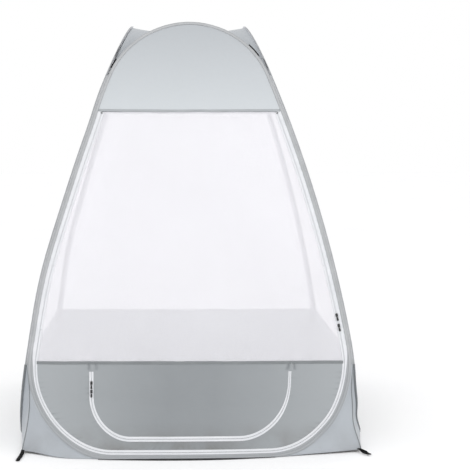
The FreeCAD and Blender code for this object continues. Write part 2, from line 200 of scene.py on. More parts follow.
def uneven(points):
    """The sprung shell's own unevenness: its left side stands out a little, its lower right side tucks in."""
    x, z = points[..., 0], points[..., 2]
    left = 0.0125 * np.exp(-(((z - 0.76) / 0.25) ** 2)) + 0.008 * smooth(z, 1.4, 1.6)
    right = 0.010 * np.exp(-((z / 0.06) ** 2)) - 0.010 * np.exp(-(((z - 0.27) / 0.12) ** 2))
    dent = 0.011 * np.exp(-(((z - 0.13) / 0.06) ** 2)) * smooth(x, 0.62, 0.76)
    shift = right * smooth(x, 0.1, 0.6) - left * smooth(-x, 0.05, 0.45) - dent
    return points + np.stack([shift, 0 * shift, 0 * shift], axis=-1)


def place(x, z, proud=0.0, turn=0):
    """Points of a wall: x and z as seen from outside it, and proud of its surface."""
    x, z, proud = np.broadcast_arrays(*(np.asarray(value, float) for value in (x, z, proud)))
    out = wall_out(z, proud) + belly(x, z, turn)
    low = z / FOOT_ROLL
    height = z - FOOT_SQUASH * low * np.exp(1 - low) * np.clip(1 - (x / 0.72) ** 4, 0, 1)
    return uneven(turned(np.stack([x, -out, height], axis=-1), turn))


def depth_inside(x, z):
    """How far inside the hoop's centreline a point of the front wall lies."""
    x = np.abs(x)
    side = WALL_RADIUS - np.hypot(x - SIDE_X, z - CENTRE_UP)
    corner = HOOP_CORNER_RADIUS - np.hypot(np.maximum(x - CORNER_X, 0), np.minimum(z - CORNER_Z, 0))
    return np.minimum(np.where(z < CORNER_Z, corner, side), side)


def rumple(x, z, size, seed):
    """Smooth random waves from about -1 to 1, size metres across."""
    x, z = np.broadcast_arrays(np.asarray(x, float), np.asarray(z, float))
    waves = [noise.noise(Vector((a / size, b / size, seed))) for a, b in zip(x.ravel(), z.ravel())]
    return np.array(waves).reshape(x.shape)


def waver(stations, size, seed):
    """Smooth random waves along a line, size metres long."""
    return rumple(stations, 0 * stations, size, seed)


def smooth(value, first, last):
    """0 before first, 1 after last, and smooth between."""
    share = np.clip((value - first) / (last - first), 0, 1)
    return share * share * (3 - 2 * share)


def unit(vectors):
    """The vectors at length 1."""
    return vectors / np.linalg.norm(vectors, axis=-1, keepdims=True)


def lengths(line):
    """How far along a line each of its points lies."""
    return np.concatenate([[0], np.cumsum(np.linalg.norm(np.diff(line, axis=0), axis=1))])


def full_turn(count):
    """Angles set evenly round a circle."""
    return np.linspace(0, 2 * math.pi, count, endpoint=False)


def grid_uvs(along, around):
    return np.stack(np.meshgrid(along, around, indexing="ij"), axis=-1)


# ---- Making meshes -------------------------------------------------------------------------------------
CLOTH = 0.0006


def linked(name, data):
    """A new object with the data, in the scene."""
    obj = bpy.data.objects.new(name, data)
    bpy.context.scene.collection.objects.link(obj)
    return obj


def new_object(name, points, faces, uvs, material, loop_uvs=False):
    mesh = bpy.data.meshes.new(name)
    mesh.from_pydata(np.reshape(points, (-1, 3)).tolist(), [], np.asarray(faces).tolist())
    layer = mesh.uv_layers.new(name="Metres")
    flat = np.reshape(uvs, (-1, 2))
    if not loop_uvs:
        flat = flat[np.asarray(faces).ravel()]
    layer.data.foreach_set("uv", flat.astype(np.float32).ravel())
    mesh.polygons.foreach_set("use_smooth", [True] * len(mesh.polygons))
    mesh.materials.append(material)
    mesh.update()
    return linked(name, mesh)


def grid_quads(rows, columns, round_rows=False, round_columns=False):
    """Quads of a grid of points, and the same quads in a grid with the closing row or column repeated."""
    row_count = rows if round_rows else rows - 1
    column_count = columns if round_columns else columns - 1
    row, column = np.meshgrid(np.arange(row_count), np.arange(column_count), indexing="ij")
    steps = [(0, 0), (0, 1), (1, 1), (1, 0)]
    quads = [((row + a) % rows) * columns + (column + b) % columns for a, b in steps]
    wide = columns + (1 if round_columns else 0)
    open_quads = [(row + a) * wide + column + b for a, b in steps]
    return [np.stack(group, axis=-1).reshape(-1, 4) for group in (quads, open_quads)]


def grid_object(name, points, material, uvs, round_rows=False, round_columns=False):
    quads, open_quads = grid_quads(*points.shape[:2], round_rows, round_columns)
    loop_uvs = np.reshape(uvs, (-1, 2))[open_quads.ravel()]
    return new_object(name, points, quads, loop_uvs, material, loop_uvs=True)


def shadow_folds(obj, depth):
    """Notes how deep in a fold each point lies, from 0 to 1; the cloth's material paints shade there by it.
    """
    folds = obj.data.attributes.new("fold", "FLOAT", "POINT")
    folds.data.foreach_set("value", np.clip(depth, 0, 1).astype(np.float32).ravel())


def settled(obj):
    """The object with its modifiers applied."""
    bpy.context.view_layer.update()
    evaluated = obj.evaluated_get(bpy.context.evaluated_depsgraph_get())
    mesh = bpy.data.meshes.new_from_object(evaluated)
    obj.modifiers.clear()
    obj.data = mesh
    return obj


def thickened(obj, thickness=CLOTH, reverse=None):
    """The sheet given a thickness; reverse is the material of its other face."""
    solidify = obj.modifiers.new("thickness", "SOLIDIFY")
    if reverse:
        obj.data.materials.append(reverse)
        solidify.material_offset = 1
    solidify.thickness = thickness
    solidify.offset = 0.0
    settled(obj)
    obj.data.set_sharp_from_angle(angle=math.radians(60))
    return obj


def welded(obj, distance=1e-5):
    """The object with points that coincide merged."""
    weld = obj.modifiers.new("weld", "WELD")
    weld.merge_threshold = distance
    return settled(obj)


def joined(name, objects):
    """One object holding the meshes of several."""
    points, faces, uvs = [], [], []
    count = 0
    for obj in objects:
        mesh = obj.data
        points += [vertex.co[:] for vertex in mesh.vertices]
        faces += [tuple(count + index for index in polygon.vertices) for polygon in mesh.polygons]
        uvs += [corner.uv[:] for corner in mesh.uv_layers[0].data]
        count += len(mesh.vertices)
    material = objects[0].data.materials[0]
    for obj in objects:
        bpy.data.objects.remove(obj)
    mesh = bpy.data.meshes.new(name)
    mesh.from_pydata(points, [], faces)
    layer = mesh.uv_layers.new(name="Metres")
    layer.data.foreach_set("uv", np.array(uvs, np.float32).ravel())
    mesh.polygons.foreach_set("use_smooth", [True] * len(mesh.polygons))
    mesh.materials.append(material)
    return linked(name, mesh)


def run_along(name, path, stations, section, material, turn=0, closed=False):
    """A strip with the given section of (inset, proud) points, run along a path on a wall.

    The section is one ring of points for the whole run, or one ring for each station."""
    x, z, normal_x, normal_z = (value[:, None] for value in path(stations))
    section = np.broadcast_to(section, (len(stations),) + np.shape(section)[-2:])
    inset, proud = section[..., 0], section[..., 1]
    points = place(x - inset * normal_x, z - inset * normal_z, proud, turn)
    ring = np.vstack([section[0], section[0][:1]])
    around = lengths(ring)
    along = np.append(stations, 2 * stations[-1] - stations[-2]) if closed else stations
    uvs = grid_uvs(along, around)
    strip = grid_object(name, points, material, uvs, round_rows=closed, round_columns=True)
    if not closed:
        cap_ends(strip, len(stations), section.shape[1])
    return strip


def swept(name, line, ring, uvs, material):
    """A closed rod: ring gives the section's points about each point of the line."""
    rod = grid_object(name, line[:, None] + ring, material, uvs, round_columns=True)
    cap_ends(rod, len(line), ring.shape[1])
    return rod


def cap_ends(strip, rows, columns):
    """Closes both ends of a strip with a face, so that it has no open edge."""
    bm = bmesh.new()
    bm.from_mesh(strip.data)
    bm.verts.ensure_lookup_table()
    for row in (0, rows - 1):
        ring = [bm.verts[row * columns + column] for column in range(columns)]
        bm.faces.new(ring)
    bmesh.ops.recalc_face_normals(bm, faces=bm.faces)
    bm.to_mesh(strip.data)
    bm.free()


# ---- Materials -----------------------------------------------------------------------------------------
def linear(red, green, blue):
    """A colour given as 8-bit sRGB, in linear light."""
    return tuple(
        (c / 255 / 12.92 if c / 255 <= 0.04045 else ((c / 255 + 0.055) / 1.055) ** 2.4)
        for c in (red, green, blue)
    ) + (1.0,)


class Graph:
    """Builds one material's nodes."""

    def __init__(self, name):
        self.material = bpy.data.materials.new(name)
        self.material.use_nodes = True
        self.tree = self.material.node_tree
        self.shader = self.tree.nodes["Principled BSDF"]

    def link(self, value, socket):
        if isinstance(value, bpy.types.NodeSocket):
            self.tree.links.new(value, socket)
        else:
            socket.default_value = value

    def node(self, kind, inputs=None, **settings):
        node = self.tree.nodes.new("ShaderNode" + kind)
        for key, value in settings.items():
            setattr(node, key, value)
        for key, value in (inputs or {}).items():
            self.link(value, node.inputs[key])
        return node

    def math(self, operation, first, second=0.0):
        return self.node("Math", {0: first, 1: second}, operation=operation).outputs[0]

    def times(self, first, second):
        return self.math("MULTIPLY", first, second)

    def plus(self, first, second):
        return self.math("ADD", first, second)

    def mix(self, share, first, second):
        node = self.node("Mix", data_type="RGBA")
        self.link(share, node.inputs["Factor"])
        self.link(first, node.inputs[6])
        self.link(second, node.inputs[7])
        return node.outputs[2]

    def uv(self):
        return self.node("UVMap", uv_map="Metres").outputs[0]

    def metres(self):
        """The cloth's own coordinates, in metres along and across it."""
        parts = self.node("SeparateXYZ", {0: self.uv()})
        return parts.outputs[0], parts.outputs[1]

    def place(self):
        return self.node("TexCoord").outputs["Object"]

    def height(self):
        return self.node("SeparateXYZ", {0: self.place()}).outputs[2]

    def scaled(self, vector, scale):
        return self.node("Mapping", {"Vector": vector, "Scale": scale}).outputs[0]

    def noise(self, vector, scale, detail=3.0, roughness=0.55):
        inputs = {"Vector": vector, "Scale": scale, "Detail": detail, "Roughness": roughness}
        return self.node("TexNoise", inputs).outputs["Fac"]

    def waves(self, value, pitch):
        turns = self.times(value, 2 * math.pi / pitch)
        return self.math("SINE", turns)

    def ramp(self, value, low, high):
        inputs = {"Value": value, "From Min": low, "From Max": high}
        return self.node("MapRange", inputs, clamp=True).outputs[0]

    def bump(self, height, strength, distance, under=None):
        inputs = {"Height": height, "Strength": strength, "Distance": distance}
        node = self.node("Bump", inputs)
        if under is not None:
            self.link(under, node.inputs["Normal"])
        return node.outputs[0]

    def shifted(self, colour, shift):
        """The colour, moved towards the shift's colour by its share, where there is a shift."""
        return self.mix(shift["share"](self), colour, shift["colour"]) if shift else colour

    def finished(self, **inputs):
        """The material, with the shader's inputs set or linked; an input's name has _ for a space."""
        for key, value in inputs.items():
            self.link(value, self.shader.inputs[key.replace("_", " ")])
        return self.material


def woven(name, colour, second_tone, shift=None, soil_and_shade=0.30):
    """Plain-woven cloth: fine weave, faint slubs, soft crumples and uneven tone, painted shade in its folds,
    and darker near the ground from dust and painted shade.
    """
    graph = Graph(name)
    along, across = graph.metres()
    spot = graph.place()
    pitch = 0.0011
    weave = graph.times(graph.waves(along, pitch), graph.waves(across, pitch))
    slubs = graph.noise(graph.scaled(graph.uv(), (1.0, 60.0, 1.0)), 14.0, 2.0)
    mottle = graph.noise(spot, 3.2, 4.0, 0.6)
    patches = graph.ramp(graph.noise(spot, 9.0, 5.0), 0.35, 0.75)
    low_dust_and_shade = graph.times(graph.ramp(graph.height(), 0.14, 0.0), patches)
    tone = graph.plus(graph.times(mottle, 0.55), graph.times(slubs, 0.25))
    tone = graph.plus(tone, graph.times(weave, 0.05))
    cloth = graph.shifted(graph.mix(graph.ramp(tone, 0.2, 0.62), colour, second_tone), shift)
    # Painted shade in folds, creases and seam puckers, as deep as the fold attribute says.
    fold = graph.node("Attribute", attribute_name="fold").outputs["Fac"]
    cloth = graph.mix(graph.times(fold, 0.75), cloth, FOLD_SHADOW)
    # Near the ground: dust in patches, and painted shade as well; the grey oxford takes the most of it.
    dusty_and_shaded = graph.mix(graph.times(low_dust_and_shade, soil_and_shade), cloth, DUST_AND_SHADE)
    crumples = graph.bump(graph.noise(spot, 26.0, 4.0, 0.5), 0.35, 0.004)
    fine = graph.bump(weave, 0.25, 0.0002, crumples)
    sheen = {"Sheen_Weight": 0.25, "Sheen_Roughness": 0.45}
    return graph.finished(Base_Color=dusty_and_shaded, Normal=fine, Roughness=0.72, Specular_IOR_Level=0.25, **sheen)


def netting(name, colour, faint):
    """Sheer knitted mesh: threads round small holes, some light passing straight through."""
    graph = Graph(name)
    along, across = graph.metres()
    spot = graph.place()
    pitch, openness = 0.0016, 0.66
    columns = graph.waves(along, pitch)
    stagger = graph.times(graph.waves(along, pitch * 2), pitch / 4)
    rows = graph.waves(graph.plus(across, stagger), pitch)
    hole = graph.times(graph.ramp(columns, -1.0, -0.1), graph.ramp(rows, -1.0, -0.1))
    cover = graph.math("SUBTRACT", 0.98, graph.times(hole, openness))
    tone = graph.mix(graph.ramp(graph.noise(spot, 2.4, 3.0), 0.3, 0.7), colour, faint)
    bump = graph.bump(graph.times(columns, rows), 0.2, 0.0002)
    soft = graph.bump(graph.noise(spot, 18.0, 3.0), 0.15, 0.003, bump)
    sheen = {"Sheen_Weight": 0.2, "Sheen_Roughness": 0.5}
    return graph.finished(
        Base_Color=tone, Alpha=cover, Normal=soft, Roughness=0.8, Specular_IOR_Level=0.15, **sheen
    )


def taped(name, colour, second_tone, shift=None, rib=0.0022):
    """Ribbed woven tape or binding, with painted shade in the grooves between its ribs."""
    graph = Graph(name)
    along, across = graph.metres()
    spot = graph.place()
    ribs = graph.waves(across, rib)
    cross = graph.waves(along, rib * 0.6)
    cloth = graph.mix(graph.ramp(graph.noise(spot, 16.0, 4.0), 0.3, 0.72), colour, second_tone)
    # Painted shade: the grooves between the ribs take the second, darker tone.
    grooved = graph.shifted(graph.mix(graph.ramp(ribs, -0.4, -1.0), cloth, second_tone), shift)
    bump = graph.bump(graph.times(ribs, cross), 0.35, 0.0003)
    soft = graph.bump(graph.noise(spot, 60.0, 3.0), 0.3, 0.0015, bump)
    sheen = {"Sheen_Weight": 0.2, "Sheen_Roughness": 0.5}
    return graph.finished(Base_Color=grooved, Normal=soft, Roughness=0.75, Specular_IOR_Level=0.25, **sheen)


def webbing(name, colour, second_tone):
    """Flat woven webbing in a herringbone of thick yarns."""
    graph = Graph(name)
    along, across = graph.metres()
    slant = graph.plus(along, graph.math("ABSOLUTE", graph.math("SUBTRACT", across, 0.0075)))
    yarn = graph.waves(slant, 0.0024)
    edge = graph.waves(across, 0.0019)
    fluff = graph.noise(graph.place(), 900.0, 3.0)
    tone = graph.mix(graph.ramp(graph.plus(yarn, fluff), 0.1, 1.6), colour, second_tone)
    bump = graph.bump(graph.plus(yarn, graph.times(edge, 0.6)), 0.6, 0.0005)
    return graph.finished(Base_Color=tone, Normal=bump, Roughness=0.8, Specular_IOR_Level=0.15)


def coil_nylon(name, colour, shadow, pitch):
    """A zip's nylon coil: glossy, with a dark gap between turns."""
    graph = Graph(name)
    turns = graph.waves(graph.metres()[0], pitch)
    tone = graph.mix(graph.ramp(turns, -0.3, -1.0), colour, shadow)
    bump = graph.bump(turns, 0.5, 0.0006)
    return graph.finished(Base_Color=tone, Normal=bump, Roughness=0.38, Coat_Weight=0.15)


def enamel(name, colour, metal):
    """Dark enamelled die-casting, rubbed to bare metal in spots."""
    graph = Graph(name)
    spot = graph.place()
    scratches = graph.noise(graph.scaled(spot, (900.0, 900.0, 120.0)), 1.0, 3.0)
    rubbed = graph.ramp(graph.noise(spot, 420.0, 4.0, 0.6), 0.62, 0.72)
    tone = graph.mix(rubbed, colour, metal)
    rough = graph.plus(graph.times(scratches, 0.3), 0.22)
    bump = graph.bump(scratches, 0.12, 0.0002)
    bare = graph.times(rubbed, 0.8)
    return graph.finished(Base_Color=tone, Roughness=rough, Metallic=bare, Normal=bump, Coat_Weight=0.4)


def steel(name):
    """Tempered spring strip, brushed along its length, faintly blued."""
    graph = Graph(name)
    brushed = graph.noise(graph.scaled(graph.uv(), (6.0, 5200.0, 1.0)), 1.0, 3.0)
    patches = graph.ramp(graph.noise(graph.place(), 5.0), 0.3, 0.7)
    tone = graph.mix(patches, (0.33, 0.34, 0.37, 1), (0.5, 0.5, 0.5, 1))
    rough = graph.plus(graph.times(brushed, 0.25), 0.2)
    bump = graph.bump(brushed, 0.15, 0.0001)
    return graph.finished(Base_Color=tone, Roughness=rough, Normal=bump, Metallic=1.0)


def groundsheet(name):
    """Black woven polyethylene with a film on it: grid of flat tapes, scuffed."""
    graph = Graph(name)
    along, across = graph.metres()
    tapes = graph.times(graph.waves(along, 0.004), graph.waves(across, 0.004))
    scuffs = graph.ramp(graph.noise(graph.place(), 12.0, 6.0, 0.65), 0.5, 0.8)
    tone = graph.mix(graph.times(scuffs, 0.6), (0.006, 0.006, 0.0065, 1), (0.03, 0.03, 0.032, 1))
    soft = graph.bump(graph.noise(graph.place(), 20.0, 4.0), 0.5, 0.004, graph.bump(tapes, 0.3, 0.0003))
    rough = graph.plus(graph.times(scuffs, 0.3), 0.35)
    return graph.finished(Base_Color=tone, Roughness=rough, Normal=soft)


def studio_floor(name):
    graph = Graph(name)
    speckle = graph.ramp(graph.noise(graph.place(), 1.4, 4.0), 0.3, 0.7)
    tone = graph.mix(speckle, linear(251, 251, 252), linear(254, 254, 254))
    glow = {"Emission_Color": (1, 1, 1, 1), "Emission_Strength": 0.025}
    return graph.finished(Base_Color=tone, Roughness=0.9, Specular_IOR_Level=0.1, **glow)


def towards_edges(graph):
    """0 at the middle of a wall and 1 near its side edges, where the grey oxford is painted lighter."""
    spot = graph.node("SeparateXYZ", {0: graph.place()})
    x, y = (graph.math("ABSOLUTE", spot.outputs[axis]) for axis in (0, 1))
    return graph.ramp(graph.math("MINIMUM", x, y), 0.10, 0.62)


def towards_top(graph):
    """0 at the header's hem and 1 at the top of the arches."""
    return graph.ramp(graph.height(), HEADER_HEM, HEIGHT)


def towards_ground(graph):
    """0 above the bands and 1 near the ground, where the binding gets painted shade."""
    return graph.ramp(graph.height(), BAND_TOP + 0.06, BAND_TOP - 0.10)


COIL_PITCH = 0.0032
# Colours of the painted shade in folds, and of the darkening near the ground, which is dust and painted
# shade.
FOLD_SHADOW, DUST_AND_SHADE = linear(96, 100, 103), linear(112, 108, 102)
# Painted shade: the grey binding is drawn darker near the ground.
LOW_SHADE = {"share": towards_ground, "colour": linear(163, 166, 169)}
# Painted light: the grey oxford is drawn lighter towards each wall's side edges.
EDGE_LIGHT = {"share": towards_edges, "colour": linear(161, 165, 168)}
SHADED = {"share": towards_top, "colour": linear(176, 180, 184)}
OXFORD = woven("oxford_grey", linear(137, 141, 144), linear(145, 149, 152), EDGE_LIGHT, soil_and_shade=0.8)
COATING = woven("oxford_coated_face", linear(198, 208, 209), linear(203, 213, 214))
WALL_HEM = taped("wall_hem_grey", linear(104, 108, 112), linear(96, 100, 104), rib=0.0016)
PALE = woven("oxford_pale", linear(196, 201, 204), linear(200, 204, 208), SHADED)
GUSSET_CLOTH = woven("oxford_blue_grey", linear(170, 175, 181), linear(178, 183, 188))
LINING = taped("binding_lining", linear(238, 238, 242), linear(230, 230, 235))
BINDING = taped("binding_grey", linear(184, 186, 188), linear(172, 174, 176), LOW_SHADE)
HEADER_TAPE = taped("header_hem_grey", linear(174, 178, 181), linear(164, 168, 171), rib=0.0016)
# A dark cord that stands for painted shade on the side walls' sleeves beside the gussets.
SIDE_SHADE_CORD = taped("side_shade_cord_grey", linear(118, 122, 125), linear(108, 112, 115), rib=0.0016)
HEM_TAPE = taped("hem_grey", linear(134, 138, 140), linear(124, 128, 130), rib=0.0016)
NET = netting("sheer_mesh", linear(244, 243, 248), linear(248, 247, 252))
ZIP_TAPE = taped("zip_tape_white", linear(232, 233, 236), linear(218, 220, 224), rib=0.0013)
ZIP_COIL = coil_nylon("zip_coil_white", linear(226, 228, 231), linear(186, 189, 193), COIL_PITCH)
SLIDER = enamel("slider_metal", (0.012, 0.012, 0.014, 1), (0.32, 0.32, 0.33, 1))
STEEL = steel("spring_steel")
WEBBING = webbing("webbing_black", (0.004, 0.004, 0.004, 1), (0.016, 0.016, 0.017, 1))
GROUND = groundsheet("groundsheet_black")
THREAD = taped("thread_grey", linear(184, 187, 190), linear(160, 163, 166), rib=0.0008)
WHITE_THREAD = taped("thread_white", linear(236, 236, 238), linear(210, 212, 215), rib=0.0008)


# ---- Small sewn details --------------------------------------------------------------------------------
STITCH = {"length": 0.0034, "width": 0.0008, "height": 0.0004, "pitch": 0.0050}


def stitch_row(name, path, first, last, inset, proud, turn=0, material=None):
    """A row of short raised stitches along a path, inset from it and proud of the wall."""
    count = max(2, int(abs(last - first) / STITCH["pitch"]))
    centres = first + (np.arange(count) + 0.5) * (last - first) / count
    half = STITCH["length"] / 2
    along = np.array([-half, -half * 0.55, half * 0.55, half])
    lift = np.array([0.0, 1.0, 1.0, 0.0])
    stations = (centres[:, None] + along).ravel()
    x, z, normal_x, normal_z = (value.reshape(count, 4, 1) for value in path(stations))
    side = np.array([-0.5, 0.0, 0.5]) * STITCH["width"]
    up = np.array([0.0, 1.0, 0.0])
    heights = proud + STITCH["height"] * lift[None, :, None] * (0.25 + up)[None, None, :]
    insets = np.broadcast_to(inset + side, (count, 4, 3))
    points = place(x - insets * normal_x, z - insets * normal_z, heights, turn)
    quads, _ = grid_quads(4, 3)
    faces = (quads[None] + 12 * np.arange(count)[:, None, None]).reshape(-1, 4)
    uvs = np.stack([np.broadcast_to(stations.reshape(count, 4, 1), points.shape[:3]), insets], axis=-1)
    return new_object(name, points, faces, uvs, material or THREAD)


def level_path(z, inset):
    """A path across a wall at height z; t is metres from its middle."""

    def path(t):
        t = np.asarray(t, float)
        return t, np.full_like(t, z), np.zeros_like(t), np.ones_like(t)

    return path, float(half_width(z, inset))


def flat_strip(width, thickness, lift):
    """Section of a flat tape with softened edges, as (inset, proud) points, centred on its line."""
    half, soft = width / 2, min(width, thickness) * 0.35
    top, low = lift + thickness / 2, lift - thickness / 2
    return np.array(
        [
            (-half, lift),
            (-half + soft, top),
            (0.0, top),
            (half - soft, top),
            (half, lift),
            (half - soft, low),
            (0.0, low),
            (-half + soft, low),
        ]
    )


# ---- Finishing a piece ---------------------------------------------------------------------------------
def fix(obj, body="shell", replaces=(), blend=None):
    """Rides a piece on its body, or, given a blend, only bakes its place into its mesh; hides the model's
    parts that it replaces.
    """
    if replaces:
        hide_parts(*replaces)
    if blend is None:
        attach(obj, body)
    else:
        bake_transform(obj)
    return obj


# ---- Hoops and their sleeves ---------------------------------------------------------------------------
def sleeve_section(stations, seed):
    """Two sewn flanges with the sprung strip's ridge between them; the cloth is a little slack over it."""
    outside = [(-8, 0.2), (-7.6, 1.0), (-6.2, 0.9), (-5.2, 0.7), (-4.6, 2.2), (-2.8, 3.7), (0, 4.1)]
    outside += [(2.8, 3.7), (4.4, 2.2), (4.8, 0.7), (5.4, 0.9), (6.0, 1.0), (6.4, 0.2)]
    inside = [(5.9, -0.5), (3.6, -1.6), (0, -3.2), (-4.5, -1.6), (-7.4, -0.5)]
    inset, proud = np.array(outside + inside).T / 1000
    slack = waver(stations, 0.022, seed)[:, None]
    sway = waver(stations, 0.11, seed + 7)[:, None]
    sections = np.empty((len(stations), len(inset), 2))
    sections[..., 0] = inset + 0.0006 * sway + 0.0003 * slack * np.sign(inset)
    sections[..., 1] = proud * (1 + 0.16 * slack)
    return sections


def make_hoops():
    stations = np.arange(0, 2 * HALF_HOOP, 0.009)
    strip = np.array([(-0.003, 0.0008), (0.003, 0.0008), (0.003, -0.0008), (-0.003, -0.0008)])
    band_end = float(station(BAND_TOP, 0.0))
    above_band = np.arange(band_end, 2 * HALF_HOOP - band_end, 0.009)
    for turn, wall in enumerate(WALLS):
        section = sleeve_section(stations, turn)
        sleeve = run_along(f"sleeve_cloth_{wall}", hoop_path, stations, section, BINDING, turn, closed=True)
        fix(sleeve, replaces=[f"sleeve_{wall}"])
        rows = [
            stitch_row(f"row_{side}", hoop_path, 0, 2 * HALF_HOOP, inset, 0.0011, turn)
            for side, inset in (("in", 0.0054), ("out", -0.0068))
        ]
        fix(joined(f"sleeve_stitches_{wall}", rows))
        lining_section = flat_strip(0.0150, 0.0008, -0.0040) + np.array([-0.0008, 0])
        lining = run_along(f"sleeve_lining_{wall}", hoop_path, above_band, lining_section, LINING, turn)
        fix(lining)
        wire = run_along(f"hoop_strip_{wall}", hoop_path, stations, strip, STEEL, turn, closed=True)
        fix(wire, replaces=[f"hoop_{wall}"])


def make_ferrules():
    """Short crimped tubes that join each hoop's ends, in the middle of its lower run."""
    stations = np.linspace(-0.030, 0.030, 41)
    grip = 1 - 0.16 * np.exp(-(((np.abs(stations) - 0.017) / 0.0022) ** 2))
    angles = full_turn(16)
    oval = np.stack([0.0044 * np.cos(angles), 0.0019 * np.sin(angles)], axis=-1)
    sections = oval[None] * grip[:, None, None]
    tubes = [
        run_along(f"tube_{wall}", hoop_path, stations, sections, STEEL, turn)
        for turn, wall in enumerate(WALLS)
    ]
    fix(joined("hoop_joining_tubes", tubes), replaces=["hoop_ferrules"])


# ---- Wall panels ---------------------------------------------------------------------------------------
def panel_grid(levels, columns, inset, turn, ripple):
    """Points and cloth coordinates of a panel between two heights; ripple gives how proud each point is."""
    share = np.linspace(-1, 1, columns)
    z = levels[:, None] + 0 * share
    x = half_width(levels, inset)[:, None] * share
    return place(x, z, ripple(x, z), turn), np.stack([x, z], axis=-1)


def edge_slack(x, z, inset):
    """1 at a panel's middle and 0 where it is sewn to the sleeve."""
    return np.clip(1 - (np.abs(x) / np.maximum(half_width(z, inset), 1e-4)) ** 4, 0, 1)


def make_headers():
    top = arch_top - PANEL_INSET
    levels = HEADER_HEM + (top - HEADER_HEM) * np.sin(np.linspace(0, math.pi / 2, 56))
    for turn, wall in enumerate(WALLS):

        def ripple(x, z):
            soft = rumple(x, z, 0.22, 3 + turn) * 0.0022
            free = edge_slack(x, z, PANEL_INSET) * smooth(z, HEADER_HEM + 0.01, HEADER_HEM + 0.10)
            return free * (0.0035 + soft + rumple(x, z, 0.05, 9 + turn) * 0.0005)

        points, uvs = panel_grid(levels, 96, PANEL_INSET, turn, ripple)
        panel = grid_object(f"header_cloth_{wall}", points, PALE, uvs)
        panel = thickened(welded(panel))
        fix(panel, replaces=[f"header_{wall}"])
        full_width(HEADER_HEM)


def hem_strip(name, z, inset, width, sag, turn, seed, material):
    """A folded hem across a wall, with two rows of stitches; it dips by sag in its middle."""
    _, reach = level_path(z, inset)

    def path(t):
        share = t / reach
        dip = sag * (1 - share**2) + 0.0009 * waver(t, 0.16, seed)
        return t, z - dip, 0 * t, np.ones_like(t)

    stations = np.linspace(-reach, reach, int(2 * reach / 0.008))
    section = np.broadcast_to(flat_strip(width, 0.0013, 0.0012), (len(stations), 8, 2)).copy()
    section[..., 1] += 0.0003 * waver(stations, 0.03, seed + 3)[:, None]
    strip = run_along(name, path, stations, section, material, turn)
    rows = [
        stitch_row(f"{name}_row_{place_in}", path, -reach, reach, offset, 0.0018, turn)
        for place_in, offset in (("low", width / 2 - 0.0018), ("high", -width / 2 + 0.0018))
    ]
    return strip, joined(f"{name}_stitches", rows)


def make_header_hems():
    for turn, wall in enumerate(WALLS):
        hem, stitches = hem_strip(
            f"header_hem_{wall}", HEADER_HEM + 0.0055, PANEL_INSET, 0.011, 0.002, turn, 20 + turn, HEADER_TAPE
        )
        fix(hem, replaces=["header_hem"])
        fix(stitches)


def make_mesh_walls():
    levels = np.linspace(BAND_TOP, HEADER_HEM, 72)
    for turn, wall in OTHER_WALLS:

        def ripple(x, z):
            pull = rumple(x, z * 0.35, 0.10, 30 + turn) * 0.0022
            hollow = 0.004 * np.sin(math.pi * (z - BAND_TOP) / (HEADER_HEM - BAND_TOP))
            return edge_slack(x, z, PANEL_INSET) * (pull - hollow)

        points, uvs = panel_grid(levels, 64, PANEL_INSET, turn, ripple)
        net = grid_object(f"mesh_cloth_{wall}", points, NET, uvs)
        fix(net, replaces=[f"mesh_{wall}"])
        full_width(BAND_TOP)


def make_bands():
    bottom = SLEEVE_HALF + PANEL_INSET
    levels = bottom + (BAND_TOP - bottom) * (1 - np.cos(np.linspace(0, math.pi / 2, 44)))
    for turn, wall in OTHER_WALLS:

        def ripple(x, z):
            drape = rumple(x, z * 0.5, 0.09, 40 + turn) * 0.0030 + rumple(x, z, 0.30, 44 + turn) * 0.004
            return edge_slack(x, z, PANEL_INSET) * drape * (1 - smooth(z, BAND_TOP - 0.04, BAND_TOP - 0.01))

        points, uvs = panel_grid(levels, 128, PANEL_INSET, turn, ripple)
        panel = thickened(grid_object(f"band_cloth_{wall}", points, OXFORD, uvs), reverse=COATING)
        fix(panel, replaces=[f"band_{wall}"])
        full_width(BAND_TOP)
        hem, stitches = hem_strip(
            f"band_hem_{wall}", BAND_TOP + 0.0015, PANEL_INSET, 0.013, 0.003, turn, 48 + turn, WALL_HEM
        )
        fix(hem, replaces=["band_hem"])
        fix(stitches)


# ---- Corners -------------------------------------------------------------------------------------------
def corner_strip(name, levels, corner, proud, material):
    """Tape across the gap between the two sleeves that meet at a corner, at heights levels."""
    reach = half_width(levels, -0.0070)
    before = place(reach, levels, proud, corner)
    after = place(-reach, levels, proud, (corner + 1) % 4)
    share = np.linspace(0, 1, 9)[None, :, None]
    tuck = 0.0035 * np.sin(math.pi * share) + 0.0006 * waver(levels, 0.05, 61)[:, None, None]
    inward = turned(np.array([-1, 1, 0]) / math.sqrt(2), corner)
    points = before[:, None] * (1 - share) + after[:, None] * share + tuck * inward
    uvs = np.stack(np.broadcast_arrays(levels[:, None], share[..., 0] * 0.014), axis=-1)
    return thickened(grid_object(name, points, material, uvs))


